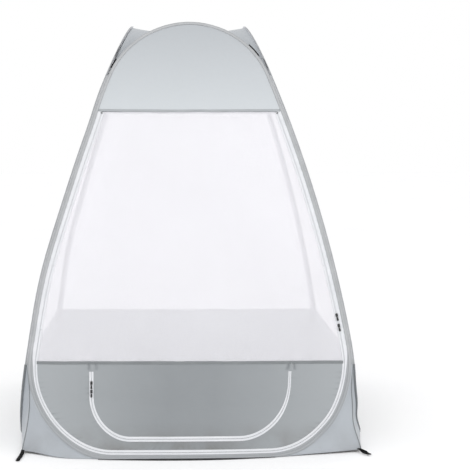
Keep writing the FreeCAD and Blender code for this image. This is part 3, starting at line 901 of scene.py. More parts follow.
def make_corner_strips():
    """Grey tape down each corner, and black strips beside each arch just above where the arches part, painted
    shade in the gap between the sleeves.
    """
    top = TOP_Z + TOP_RADIUS * math.sin(UPPER_TANGENT)
    for turn, corner in enumerate(CORNERS):
        levels = np.linspace(GUSSET_TOP - 0.004, top, 150)
        strip = corner_strip(f"corner_tape_{corner}", levels, turn, -0.0012, BINDING)
        fix(strip, replaces=[f"corner_strip_{corner}"])
    for turn, wall in enumerate(WALLS):
        # Black strips for the painted shade in the gap where neighbouring arches part.
        shade_strips = []
        for side, low, high in ((-1, top + 0.030, top + 0.070), (1, top + 0.085, top + 0.135)):
            ends = np.sort(side * station(np.array([low, high]), 0.0))
            stations = np.linspace(ends[0], ends[1], 12)
            section = flat_strip(0.0060, 0.0012, -0.0016) + np.array([-0.0108, 0])
            shade_strips.append(run_along(f"shade_strip_{side}", hoop_path, stations, section, WEBBING, turn))
        fix(joined(f"arch_crotch_shade_strips_{wall}", shade_strips))


def gusset_seam(climb, corner):
    """The seam down a corner, climb running from 0 at the ground to 1 at its top."""
    base = np.array([BASE_CORNER, -BASE_CORNER, CORNER_LIFT])
    top_out = float(wall_out(GUSSET_TOP)) - 0.0065
    top = np.array([top_out, -top_out, GUSSET_TOP])
    hollow = SEAM_HOLLOW[corner] * np.array([-1, 1, 0]) * np.sin(math.pi * climb)[:, None]
    return uneven(turned(base + climb[:, None] * (top - base) + hollow, corner))


def gusset_half(rows, columns, corner, side):
    """One half of a gusset, from its sleeve out to the seam: side is 1 before the corner and -1 after it."""
    reach = np.linspace(LINE_END, float(station(GUSSET_TOP, -0.008)), rows)
    x, z, normal_x, normal_z = hoop_path(side * reach)
    wall = corner if side > 0 else (corner + 1) % 4
    edge_z = np.maximum(z + 0.008 * normal_z, 0.0012)
    sleeve = place(x + 0.008 * normal_x, edge_z, -0.0008, wall)
    climb = (edge_z - edge_z[0]) / (edge_z[-1] - edge_z[0])
    seam = gusset_seam(climb, corner)
    share = np.linspace(0, 1, columns)
    points = sleeve[:, None] * (1 - share[None, :, None]) + seam[:, None] * share[None, :, None]
    dish = np.sin(math.pi * share)[None] * np.sin(math.pi * np.clip(climb * 1.05, 0, 1))[:, None]
    inward = turned(np.array([-0.2, 1.0, 0.1]) if side > 0 else np.array([-1.0, 0.2, 0.1]), corner)
    pull = rumple(share * 2 + side, climb[:, None] * 6, 1.0, 71 + corner) * 0.003 * np.sin(math.pi * share)
    flare = FLARE if wall == 0 and side < 0 else 0.0
    out = flare * (np.sin(math.pi * share) ** 2)[None] * np.exp(-climb / 0.16)[:, None]
    return points + (0.009 * dish * (1 - np.exp(-climb / 0.2))[:, None] + pull - out)[..., None] * inward


def make_gussets():
    rows, columns = 64, 40
    for turn, corner in enumerate(CORNERS):
        before, after = (gusset_half(rows, columns, turn, side) for side in (1, -1))
        points = np.concatenate([before, after[:, -2::-1]], axis=1)
        across = np.linalg.norm(points - points[:, columns - 1 : columns], axis=-1)
        across[:, :columns] *= -1
        uvs = np.stack([across, points[..., 2]], axis=-1)
        cloth = grid_object(f"gusset_cloth_{corner}", points, GUSSET_CLOTH, uvs)
        gusset = thickened(cloth, reverse=COATING)
        fix(gusset, replaces=[f"gusset_{corner}"])
        seam = points[1:, columns - 1]  # the first two rows meet at the ground
        fix(seam_cord(f"gusset_seam_{corner}", seam, 0.0026, HEM_TAPE))
        # Painted shade: a dark cord along the side wall's sleeve edge of each gusset, where that sleeve turns
        # away from the light.
        side_edge = points[20:, 0] if turn % 2 else points[20:, -1]
        fix(seam_cord(f"gusset_side_shade_cord_{corner}", side_edge, SIDE_SHADE_RADIUS[turn], SIDE_SHADE_CORD))


def seam_cord(name, line, radius, material):
    """A narrow bound seam along a line of points: flat, standing a little proud."""
    line = np.asarray(line)
    tangent = unit(np.gradient(line, axis=0))
    out = unit(line * np.array([1, 1, 0]))
    side = unit(np.cross(tangent, out))
    angles = full_turn(12)
    wide, tall = (radius * swing[None, :, None] for swing in (np.cos(angles), 0.7 * np.sin(angles)))
    ring = wide * side[:, None] + tall * out[:, None]
    along = lengths(line)
    around = np.linspace(0, 2 * math.pi * radius, 13)
    uvs = grid_uvs(along, around)
    return swept(name, line, ring, uvs, material)


# ---- Roof and floor ------------------------------------------------------------------------------------
ARCH_END = math.pi / 2 - UPPER_TANGENT


def make_roof():
    """One cloth from arch to arch: each quarter follows its arch, and all dip a little to the middle."""
    angles = np.linspace(-ARCH_END, ARCH_END, 49)
    x = TOP_RADIUS * np.sin(angles)
    z = TOP_Z + TOP_RADIUS * np.cos(angles)
    quarter = place(x, z, -0.0035)
    rim = np.concatenate([turned(quarter, turn) for turn in range(4)])
    share = np.linspace(0, 1, 30)[:, None, None]
    middle = np.array([0, 0, ROOF_MIDDLE])
    points = rim[None] * (1 - share) + middle * share
    sag = np.sin(math.pi * share[..., 0]) * (0.006 + 0.004 * rumple(points[..., 0], points[..., 1], 0.16, 81))
    points[..., 2] -= sag
    uvs = points[..., :2]
    wide_uvs = np.concatenate([uvs, uvs[:, :1]], axis=1)
    roof = grid_object("roof_cloth", points, PALE, wide_uvs, round_columns=True)
    roof = thickened(welded(roof))
    fix(roof, replaces=["roof_panel"])
    for turn, corner in enumerate(CORNERS):
        column = 48 + 49 * turn
        following = (column + 1) % len(rim)
        line = (points[:-3, column] + points[:-3, following]) / 2 + np.array([0, 0, 0.001])
        fix(seam_cord(f"roof_seam_{corner}", line, 0.0022, HEM_TAPE))


def floor_rim():
    """The groundsheet's edge: each wall's foot in turn, and the base's corner after it."""
    steps = np.linspace(0, 1, 16)[:, None]
    feet = [place(np.linspace(-CORNER_X, CORNER_X, 41), 0.0, -0.004, turn) for turn in range(4)]
    rim = []
    for turn, foot in enumerate(feet):
        corner = uneven(turned(np.array([[BASE_CORNER - 0.003, 0.003 - BASE_CORNER, CORNER_LIFT]]), turn))
        following = feet[(turn + 1) % 4][:1]
        out = foot[-1:] * (1 - steps) + corner * steps
        back = corner * (1 - steps) + following * steps
        rim += [foot, out[1:], back[1:-1]]
    return np.concatenate(rim)


def make_floor():
    """The groundsheet: black, slightly rumpled, with its corners held just off the ground."""
    share = np.linspace(0, 1, 40)[:, None, None]
    points = floor_rim()[None] * (1 - share)
    points[..., 2] = points[..., 2] * (1 - np.sin(share[..., 0] * math.pi / 2)) + 0.0016
    lift = rumple(points[..., 0], points[..., 1], 0.12, 91)
    points[..., 2] += 0.0022 * np.clip(lift, 0, 1) * np.sin(math.pi * share[..., 0])
    uvs = np.concatenate([points[..., :2], points[:, :1, :2]], axis=1)
    floor = thickened(welded(grid_object("groundsheet", points, GROUND, uvs, round_columns=True)), 0.0008)
    fix(floor, replaces=["floor_panel"])


def make_foot_strip():
    """A black strip along the groundsheet's edge, standing out a little so that a dark line shows under each
    sleeve's lower run.
    """
    stations = np.linspace(-CORNER_X - 0.06, CORNER_X + 0.02, 120)
    outer_face = [(0.0085, 0.0022), (0.0080, 0.0085), (0.0060, 0.0120)]
    section = np.array([*outer_face, (0.0014, 0.0120), (0.0002, 0.0022)])

    def path(t):
        return t, 0 * t, 0 * t, -np.ones_like(t)

    taper = 0.30
    last = stations[-1]
    full = smooth(stations, stations[0], stations[0] + taper) * (1 - smooth(stations, last - taper, last))
    full = full[:, None, None]
    centre = section.mean(axis=0)
    section = centre + (section - centre) * (0.25 + 0.75 * full) + [0, 0.0022] * full
    for turn, wall in enumerate(WALLS):
        tape = run_along(f"foot_strip_{wall}", path, stations, section, GROUND, turn)
        fix(tape)


# ---- Zips ----------------------------------------------------------------------------------------------
def offset_sections(sections, inset, stations, seed):
    """The sections moved in to a zip's line, on tape that puckers slightly along its length."""
    moved = sections.copy()
    moved[..., 0] += inset
    wave = np.sin(2 * math.pi * stations / 0.026 + 2.5 * waver(stations, 0.12, seed))
    pucker = 0.0007 * (0.5 + 0.5 * wave)
    share = np.clip(np.abs(sections[..., 0]) / TAPE_WIDTH, 0, 1)
    moved[..., 1] += pucker[:, None] * share
    return moved


def coil_section(stations, away):
    """A coil beside a zip's line, thicker at each turn."""
    wave = 0.5 + 0.5 * np.cos(2 * math.pi * stations / COIL_PITCH)
    radius = 0.00075 + 0.00025 * wave
    angles = full_turn(8)
    sections = np.empty((len(stations), 8, 2))
    sections[..., 0] = away * (0.0012 + radius[:, None] * np.cos(angles))
    sections[..., 1] = 0.0011 + radius[:, None] * np.sin(angles)
    return sections[:, ::-1] if away < 0 else sections


def tape_section(stations, away, near, far, lift=0.0004):
    """Flat tape from near to far beside a zip's line; far may be one width for each station."""
    near, far = (np.broadcast_to(edge, stations.shape) for edge in (near, far))
    top, low = lift + 0.0004, lift - 0.0004
    soft = 0.0003
    middle = (near + far) / 2
    insets = [near, near + soft, middle, far - soft, far, far - soft, middle, near + soft]
    lifts = [lift, top, top, top, lift, low, low, low]
    sections = np.stack(np.broadcast_arrays(away * np.stack(insets, axis=-1), lifts), axis=-1)
    return sections[:, ::-1] if away < 0 else sections


COIL_STEP = COIL_PITCH / 4
TAPE_STEP = 0.006


def zip_half(name, path, first, last, line, away, widths, seed):
    """Tape, coil and stitches of one half of a zip along a path, between two stations."""
    coarse = np.linspace(first, last, max(8, int((last - first) / TAPE_STEP)))
    fine = np.linspace(first, last, max(8, int((last - first) / COIL_STEP)))
    tape_rings = offset_sections(tape_section(coarse, away, 0.0006, widths(coarse)), line, coarse, seed)
    tape = run_along(f"{name}_tape", path, coarse, tape_rings, ZIP_TAPE)
    coil_rings = coil_section(fine, away)
    coil_rings[..., 0] += line
    coil = run_along(f"{name}_coil", path, fine, coil_rings, ZIP_COIL)
    stitch = stitch_row(f"{name}_sewn", path, first, last, line + away * 0.0072, 0.0008, 0, WHITE_THREAD)
    return tape, coil, stitch


DOOR_TOP = HEADER_HEM - EDGE_GAP
MIDS = [(upper + lower) / 2 for upper, lower in zip(DOOR_FOLDS, DOOR_FOLDS[1:])]
DOOR_BODIES = ["shell", "door_pleat_2", "door_pleat_3", "door_pleat_4", "door_lower"]
FOLD_REACH = 0.030


def door_pieces():
    """Each stretch of the door that holds one fold: number, lower and upper height, and its blend."""
    uppers = [DOOR_TOP] + MIDS
    lowers = MIDS + [0.0]
    pieces = []
    for number, (upper, lower) in enumerate(zip(uppers, lowers)):
        fold = DOOR_FOLDS[number]
        bend = (DOOR_BODIES[number], DOOR_BODIES[number + 1], fold + FOLD_REACH, fold - FOLD_REACH)
        pieces.append((number + 1, lower, upper, bend))
    return pieces


def full_tape(stations):
    return np.full(stations.shape, SHOWN_TAPE)


def sleeve_tape(stations):
    """Above the band the outer half's tape reaches the sleeve; below, a grey facing shows between them."""
    low, high = float(station(BAND_TOP - 0.04, 0)), float(station(BAND_TOP + 0.06, 0))
    narrow, wide = SHOWN_TAPE - 0.0008, ZIP_LINE - 0.0052
    return narrow + (wide - narrow) * smooth(np.abs(stations), low, high)


def make_door_zip():
    top = float(station(DOOR_TOP, ZIP_LINE))
    parts = zip_half("door_zip_outer", hoop_path, -top, top, ZIP_LINE, -1, sleeve_tape, 101)
    end = float(station(BAND_TOP + 0.05, 0))
    lower_run = np.linspace(-end, end, int(2 * end / TAPE_STEP))
    facing_section = tape_section(lower_run, 1, 0.0050, ZIP_LINE - SHOWN_TAPE + 0.0025, 0.0)
    fix(run_along("door_zip_facing", hoop_path, lower_run, facing_section, BINDING))
    for part, replaced in zip(parts, (["door_zip_frame"], (), ())):
        fix(part, replaces=replaced)
    nodes = [["door_zip_1", "door_zip_2"], ["door_zip_3"], ["door_zip_4"], ["door_zip_5"]]
    for number, lower, upper, bend in door_pieces():
        high = float(station(upper, ZIP_LINE))
        if lower == 0.0:
            sides = [(-high, high)]
        else:
            low = float(station(lower, ZIP_LINE))
            sides = [(-high, -low), (low, high)]
        made = [
            zip_half(f"arm_{side}_{number}", hoop_path, first, last, ZIP_LINE, 1, full_tape, 103)
            for side, (first, last) in enumerate(sides)
        ]
        for kind, index in (("tape", 0), ("coil", 1), ("sewn", 2)):
            piece = joined(f"door_zip_inner_{kind}_{number}", [arm[index] for arm in made])
            replaced = nodes[number - 1] if kind == "tape" else ()
            fix(piece, replaces=replaced, blend=bend)


# ---- The door's cloth ----------------------------------------------------------------------------------
def door_ripple(x, z):
    """The door's net hangs nearly flat, with faint upright folds and slack near its sides."""
    slack = edge_slack(x, z, DOOR_INSET)
    folds = rumple(x, z * 0.28, 0.085, 111) * 0.0028
    return slack * folds - 0.0008


def make_door_mesh():
    for number, lower, upper, bend in door_pieces():
        low = max(lower, BAND_TOP - 0.003)
        levels = np.linspace(low, upper, max(6, int((upper - low) / 0.006)))
        points, uvs = panel_grid(levels, 72, DOOR_INSET, 0, door_ripple)
        net = grid_object(f"door_net_{number}", points, NET, uvs)
        replaced = ["door_mesh_1", "door_mesh_2"] if number == 1 else [f"door_mesh_{number + 1}"]
        fix(net, replaces=replaced if number < 4 else (), blend=bend)
        width, length = full_width(low, DOOR_INSET), upper - low


hatch_left_z = HATCH_BOTTOM + HATCH_RADIUS_LEFT
hatch_right_z = HATCH_BOTTOM + HATCH_RADIUS_RIGHT
hatch_left_x = HATCH_LEFT + HATCH_RADIUS_LEFT
hatch_right_x = HATCH_RIGHT - HATCH_RADIUS_RIGHT
ARM_LEFT = HATCH_HINGE - hatch_left_z
TURN_LEFT = ARM_LEFT + HATCH_RADIUS_LEFT * math.pi / 2
RUN_BOTTOM = TURN_LEFT + hatch_right_x - hatch_left_x
TURN_RIGHT = RUN_BOTTOM + HATCH_RADIUS_RIGHT * math.pi / 2
HATCH_LENGTH = TURN_RIGHT + HATCH_HINGE - hatch_right_z


def hatch_path(t):
    """The hatch's U, t metres along it from the top of its left arm, with outward normals."""
    t = np.asarray(t, float)
    where = [t < ARM_LEFT, t < TURN_LEFT, t < RUN_BOTTOM, t < TURN_RIGHT]
    left_angle = math.pi + (t - ARM_LEFT) / HATCH_RADIUS_LEFT
    right_angle = -math.pi / 2 + (t - RUN_BOTTOM) / HATCH_RADIUS_RIGHT
    angle = np.select(where, [math.pi + 0 * t, left_angle, -math.pi / 2 + 0 * t, right_angle], 0.0)
    on_bottom, on_right_arm = hatch_left_x + t - TURN_LEFT, hatch_right_z + t - TURN_RIGHT
    centre_x = np.select(where, [hatch_left_x, hatch_left_x, on_bottom, hatch_right_x], hatch_right_x)
    centre_z = np.select(where, [HATCH_HINGE - t, hatch_left_z, hatch_left_z, hatch_right_z], on_right_arm)
    radius = np.where(t < RUN_BOTTOM, HATCH_RADIUS_LEFT, HATCH_RADIUS_RIGHT)
    normal_x, normal_z = np.cos(angle), np.sin(angle)
    return centre_x + radius * normal_x, centre_z + radius * normal_z, normal_x, normal_z


def creases(x, z):
    """Upright creases in the band above the top of each arm of the hatch's zip."""
    above = smooth(z, HATCH_HINGE, HATCH_HINGE + 0.014) * (1 - 0.5 * smooth(z, BAND_TOP - 0.02, BAND_TOP))
    total = 0 * x
    for middle, depth, width, lean in (
        (HATCH_LEFT - 0.011, -0.0032, 0.006, 0.05),
        (HATCH_LEFT + 0.006, 0.0026, 0.009, -0.04),
        (HATCH_LEFT + 0.024, -0.0026, 0.006, -0.10),
        (HATCH_RIGHT - 0.016, -0.0034, 0.007, 0.30),
        (HATCH_RIGHT + 0.004, 0.0030, 0.008, 0.12),
        (HATCH_RIGHT + 0.022, -0.0032, 0.006, -0.12),
    ):
        centre = middle + lean * (z - HATCH_TOP)
        total = total + depth * np.exp(-(((x - centre) / width) ** 2))
    return 1.6 * total * above


def crease_depth(x, z):
    return np.clip(-creases(x, z) / 0.0095, 0, 1)


def band_ripple(x, z):
    """Soft unevenness shared by every piece of the door's band, so that they meet."""
    long_waves = rumple(x, z, 0.26, 121) * 0.0045
    short_waves = rumple(x, z * 0.7, 0.075, 122) * 0.0014
    free = smooth(depth_inside(x, z), ZIP_LINE + 0.012, ZIP_LINE + 0.08)
    free = free * (1 - smooth(z, BAND_TOP - 0.03, BAND_TOP))
    from_sliders = np.hypot((x - HATCH_LEFT) / 0.05, (z - 0.29) / 0.07)
    return (long_waves + short_waves) * free * smooth(from_sliders, 0.6, 1.6) + creases(x, z)


def fading(distance, reach):
    """Strength of a seam's puckers at a distance: none on the tape, most just past it, then fading."""
    return smooth(distance, 0.003, 0.008) * np.exp(-distance / reach)


def make_door_band():
    stations = np.linspace(0, 1, 300)
    end = float(station(HATCH_HINGE, DOOR_INSET))
    outer_t = -end + 2 * end * stations
    inner_t = HATCH_LENGTH * stations
    outer, inner = hoop_path(outer_t), hatch_path(inner_t)
    outer_x, outer_z = outer[0] - DOOR_INSET * outer[2], outer[1] - DOOR_INSET * outer[3]
    tuck = 0.0062
    inner_x, inner_z = inner[0] + tuck * inner[2], inner[1] + tuck * inner[3]
    share = np.linspace(0, 1, 34)[:, None]
    x = outer_x * (1 - share) + inner_x * share
    z = outer_z * (1 - share) + inner_z * share
    from_outer = share * np.hypot(outer_x - inner_x, outer_z - inner_z)
    from_inner = (1 - share) * np.hypot(outer_x - inner_x, outer_z - inner_z)
    pucker = 0.0030 * np.sin(2 * math.pi * outer_t / 0.027 + 3.0 * waver(outer_t, 0.10, 131))
    pull = 0.0018 * np.sin(2 * math.pi * inner_t / 0.024 + 3.0 * waver(inner_t, 0.10, 132))
    outer_strength = np.clip(0.45 + 1.3 * waver(outer_t, 0.07, 133), 0, 1)
    inner_strength = np.clip(0.35 + 1.3 * waver(inner_t, 0.06, 134), 0, 1)
    at_outer = outer_strength * fading(from_outer, 0.013)
    at_inner = inner_strength * fading(from_inner, 0.010)
    points = place(x, z, band_ripple(x, z) + pucker * at_outer + pull * at_inner)
    cloth = grid_object("door_band_cloth", points, OXFORD, np.stack([x, z], axis=-1))
    # Painted shade in the puckers beside both seams and in the creases.
    ticks = np.clip(-pucker / 0.0030, 0, 1) ** 2 * at_outer
    ticks = ticks + 0.7 * np.clip(-pull / 0.0018, 0, 1) ** 2 * at_inner
    shadow_folds(cloth, ticks + crease_depth(x, z))
    ring = thickened(cloth)
    fix(ring, body="door_lower", replaces=["door_band"])

    levels = np.linspace(HATCH_HINGE, BAND_TOP, 26)
    points, uvs = panel_grid(levels, 220, DOOR_INSET, 0, band_ripple)
    cloth = grid_object("door_band_top", points, OXFORD, uvs)
    shadow_folds(cloth, crease_depth(uvs[..., 0], uvs[..., 1]))
    strip = thickened(cloth)
    bend = door_pieces()[-1][3]
    fix(strip, blend=bend)
    hem, stitches = hem_strip("door_band_hem", BAND_TOP - 0.0048, DOOR_INSET, 0.013, 0.002, 0, 141, HEM_TAPE)
    for part in (hem, stitches):
        lift_over_cloth(part)
    fix(hem, replaces=["door_hem"], blend=bend)
    fix(stitches, blend=bend)


HATCH_BEND = ("door_lower", "hatch", HATCH_HINGE, HATCH_HINGE - 0.022)


def hatch_sides(z, inset):
    """Left and right edges of the hatch's cloth at heights z."""
    left_radius, right_radius = HATCH_RADIUS_LEFT - inset, HATCH_RADIUS_RIGHT - inset
    drop_left = np.clip(hatch_left_z - z, 0, left_radius)
    drop_right = np.clip(hatch_right_z - z, 0, right_radius)
    left = hatch_left_x - np.sqrt(left_radius**2 - drop_left**2)
    right = hatch_right_x + np.sqrt(right_radius**2 - drop_right**2)
    return left, right


def make_hatch():
    inset = 0.0058
    bottom = HATCH_BOTTOM + inset
    rows = np.linspace(0, math.pi / 2, 60)
    levels = bottom + (HATCH_HINGE - bottom) * (1 - np.cos(rows))
    left, right = hatch_sides(levels, inset)
    share = np.linspace(0, 1, 150)
    x = left[:, None] * (1 - share) + right[:, None] * share
    z = levels[:, None] + 0 * x
    points = place(x, z, band_ripple(x, z))
    cloth = grid_object("hatch_cloth", points, OXFORD, np.stack([x, z], axis=-1))
    shadow_folds(cloth, crease_depth(x, z))
    flap = thickened(cloth)
    fix(flap, replaces=["hatch_panel"], blend=HATCH_BEND)


def hatch_tape_width(stations):
    """The tape is partly folded under along the right arm, so less of it shows there."""
    narrow = smooth(stations, TURN_RIGHT - 0.20, HATCH_LENGTH - 0.02)
    return SHOWN_TAPE * (1 - 0.35 * narrow) * np.ones_like(stations)


def make_hatch_zip():
    first, last = -0.002, HATCH_LENGTH + 0.002
    sides = [("frame", -1, "hatch_zip_frame", None), ("flap", 1, "hatch_zip_flap", HATCH_BEND)]
    for side, away, node, bend in sides:
        parts = zip_half(f"hatch_zip_{side}_half", hatch_path, first, last, 0.0, away, hatch_tape_width, 151)
        for index, part in enumerate(parts):
            lift_over_cloth(part)
            fix(part, body="door_lower", replaces=[node] if index == 0 else (), blend=bend)


def lift_over_cloth(part):
    """Moves each point of a piece out by the band's own unevenness, so that it stays on the cloth."""
    mesh = part.data
    points = np.array([vertex.co[:] for vertex in mesh.vertices])
    points[:, 1] -= band_ripple(points[:, 0], points[:, 2])
    mesh.vertices.foreach_set("co", points.astype(np.float32).ravel())
    mesh.update()


# ---- Sliders, pulls and stops --------------------------------------------------------------------------
def rounded(width, length, radius, taper=1.0, steps=6):
    """Outline of a rounded rectangle as (x, y) points; taper narrows its lower end."""
    corners = [(1, 1, 0), (-1, 1, 90), (-1, -1, 180), (1, -1, 270)]
    outline = []
    for side_x, side_y, start in corners:
        wide = width * (taper if side_y < 0 else 1.0)
        centre_x, centre_y = side_x * (wide / 2 - radius), side_y * (length / 2 - radius)
        for step in range(steps + 1):
            angle = math.radians(start + 90 * step / steps)
            outline.append((centre_x + radius * math.cos(angle), centre_y + radius * math.sin(angle)))
    return outline


def flat_part(name, loops, thickness, bevel, material):
    """A flat part with rounded edges, cut to the first loop, with the other loops as holes."""
    curve = bpy.data.curves.new(name, "CURVE")
    curve.dimensions = "2D"
    curve.fill_mode = "BOTH"
    curve.extrude = thickness / 2 - bevel
    curve.bevel_depth = bevel
    curve.bevel_resolution = 2
    curve.offset = -bevel
    for loop in loops:
        spline = curve.splines.new("POLY")
        spline.points.add(len(loop) - 1)
        for point, (x, y) in zip(spline.points, loop):
            point.co = (x, y, 0, 1)
        spline.use_cyclic_u = True
    holder = linked(name, curve)
    bpy.context.view_layer.update()
    mesh = bpy.data.meshes.new_from_object(holder.evaluated_get(bpy.context.evaluated_depsgraph_get()))
    bpy.data.objects.remove(holder)
    mesh.name = name
    while mesh.uv_layers:
        mesh.uv_layers.remove(mesh.uv_layers[0])
    layer = mesh.uv_layers.new(name="Metres")
    spots = np.array([mesh.vertices[loop.vertex_index].co[:2] for loop in mesh.loops], np.float32)
    layer.data.foreach_set("uv", spots.ravel())
    mesh.materials.clear()
    mesh.materials.append(material)
    return linked(name, mesh)


def moved(obj, offset=(0, 0, 0), turns=(0, 0, 0)):
    """The object's mesh turned and then moved."""
    for angle, axis in zip(turns, "XYZ"):
        obj.data.transform(Matrix.Rotation(math.radians(angle), 4, axis))
    obj.data.transform(Matrix.Translation(offset))
    return obj


def bar(name, points, width, thickness, material):
    """A rounded bar bent through (y, z) points in a slider's own frame, as wide as width."""
    line = np.array([(0.0, y, z) for y, z in points])
    tangent = unit(np.gradient(line, axis=0))
    side = np.array([1.0, 0.0, 0.0])
    out = np.cross(tangent, side)
    angles = full_turn(12)
    power = 0.6
    wide = np.sign(np.cos(angles)) * np.abs(np.cos(angles)) ** power * width / 2
    thick = np.sign(np.sin(angles)) * np.abs(np.sin(angles)) ** power * thickness / 2
    ring = wide[None, :, None] * side + thick[None, :, None] * out[:, None]
    uvs = grid_uvs(line[:, 2], np.linspace(0, 0.01, 13))
    return swept(name, line, ring, uvs, material)


PLATE_LIFT = 0.0040
PIN_LIFT = 0.0066
PULL_DROP = 0.0010


def slider_shape(name):
    """A zip slider in its own frame: x across the zip, y out from the wall, z up the zip."""
    top = flat_part("top_plate", [rounded(0.0104, 0.0150, 0.0030, 0.72)], 0.0020, 0.0006, SLIDER)
    moved(top, (0, PLATE_LIFT, 0), (90, 0, 0))
    sides = []
    lip_line = [(0.0016, -0.0055), (0.0018, -0.002), (0.0018, 0.002), (0.0018, 0.0048)]
    for side in (-1, 1):
        lip = bar("lip", lip_line, 0.0012, 0.0030, SLIDER)
        sides.append(moved(lip, (side * 0.0046, 0.0006, 0)))
    swing = np.linspace(0.15, math.pi - 0.15, 15)
    arch = [(PLATE_LIFT + 0.0042 * math.sin(a), -0.0056 * math.cos(a)) for a in swing]
    bridge = bar("bridge", arch, 0.0032, 0.0012, SLIDER)
    nose_line = [(PLATE_LIFT + lift, z) for lift, z in ((0.0006, 0.0048), (0.0014, 0.0060), (0.0006, 0.0070))]
    nose = bar("nose", nose_line, 0.0050, 0.0012, SLIDER)
    return joined(name, [top, *sides, bridge, nose])


def pull_shape(name):
    """A pull that hangs from its slider: an eye, a waist and a ribbed grip, with a cord loop's hole."""
    edge = ((4.3, 0.3), (4.6, -3.0), (4.3, -8.2), (3.1, -10.4), (3.3, -13.0), (4.4, -18.0), (4.4, -22.4))
    outline = [(x / 1000, z / 1000) for x, z in edge]
    swing = np.linspace(0.2, math.pi - 0.2, 9)
    tip = [(4.4 * math.cos(a) / 1000, (-22.4 - 2.4 * math.sin(a)) / 1000) for a in swing]
    outline = [(3.4 / 1000, 0.9 / 1000)] + outline + tip
    outline += [(-x, z) for x, z in reversed(outline[:8])]
    eye = [(x, z - 0.0046) for x, z in rounded(0.0056, 0.0078, 0.0022)]
    plate = flat_part("plate", [outline, eye], 0.0014, 0.00045, SLIDER)
    moved(plate, (0, PIN_LIFT, -PULL_DROP), (90, 0, 0))
    ribs = []
    for step in range(4):
        rib = bar("rib", [(0, -0.00035), (0, 0), (0, 0.00035)], 0.0056, 0.0009, SLIDER)
        ribs.append(moved(rib, (0, PIN_LIFT + 0.0007, -0.0165 - 0.0016 * step)))
    return joined(name, [plate, *ribs])


def set_on_wall(obj, x, z, lean):
    """Sets a piece on the front wall at (x, z), its length leaning by lean per unit of height."""
    spot = place(x, z)
    outward = Vector((0, -(float(wall_out(z)) - CENTRE_OUT), z - CENTRE_UP)).normalized()
    lean_out = (z - CENTRE_UP) / (float(wall_out(z)) - CENTRE_OUT)
    along = Vector((lean, lean_out, 1)).normalized()
    across = outward.cross(along)
    basis = Matrix((across, outward, along)).transposed().to_4x4()
    obj.data.transform(Matrix.Translation(Vector(spot)) @ basis)
    return obj


def make_sliders():
    places = {}
    for which, z in (("upper", 0.596), ("lower", 0.551)):
        side = math.sqrt((WALL_RADIUS - ZIP_LINE) ** 2 - (z - CENTRE_UP) ** 2)
        places[f"door_{which}"] = (SIDE_X + side, z, -(z - CENTRE_UP) / side)
    for which, z in (("upper", 0.308), ("lower", 0.272)):
        places[f"hatch_{which}"] = (HATCH_LEFT, z, 0.0)
    for name, (x, z, lean) in places.items():
        part, which = name.split("_")
        slider = set_on_wall(slider_shape(f"{part}_zip_slider_{which}"), x, z, lean)
        fix(slider, body=f"{name}_slider", replaces=[f"{part}_slider_{which}"])
        pull = set_on_wall(pull_shape(f"{part}_zip_pull_{which}"), x, z, lean)
        fix(pull, body=f"{name}_pull", replaces=[f"{part}_pull_{which}"])


def make_stops():
    """Crimped stops at the tops of the door zip's two arms."""
    height = DOOR_TOP - 0.0045
    t = float(station(height, ZIP_LINE))
    clips = []
    for side, middle in (("right", t), ("left", -t)):
        stations = middle + np.linspace(-0.0022, 0.0022, 7)
        swell = 1 - 0.25 * (np.linspace(-1, 1, 7) ** 4)
        ring = flat_strip(0.0088, 0.0016, 0.0034)
        sections = np.broadcast_to(ring, (7, 8, 2)).copy()
        sections[..., 0] = sections[..., 0] * swell[:, None] + ZIP_LINE
        clips.append(run_along(f"stop_{side}", hoop_path, stations, sections, SLIDER))
    fix(joined("door_zip_end_stops", clips), replaces=["door_zip_stops"])


# ---- Peg loops -----------------------------------------------------------------------------------------
def smooth_line(points, count):
    """A smooth line through given points, sampled evenly enough to sweep a band along."""
    points = np.array(points, float)
    padded = np.vstack([2 * points[0] - points[1], points, 2 * points[-1] - points[-2]])
    share = np.linspace(0, len(points) - 1, count)
    line = []
    for value in share:
        index = min(int(value), len(points) - 2)
        u = value - index
        a, b, c, d = padded[index : index + 4]
        squared, cubed = (2 * a - 5 * b + 4 * c - d) * u**2, (3 * b - a - 3 * c + d) * u**3
        line.append(0.5 * (2 * b + (c - a) * u + squared + cubed))
    return np.array(line)


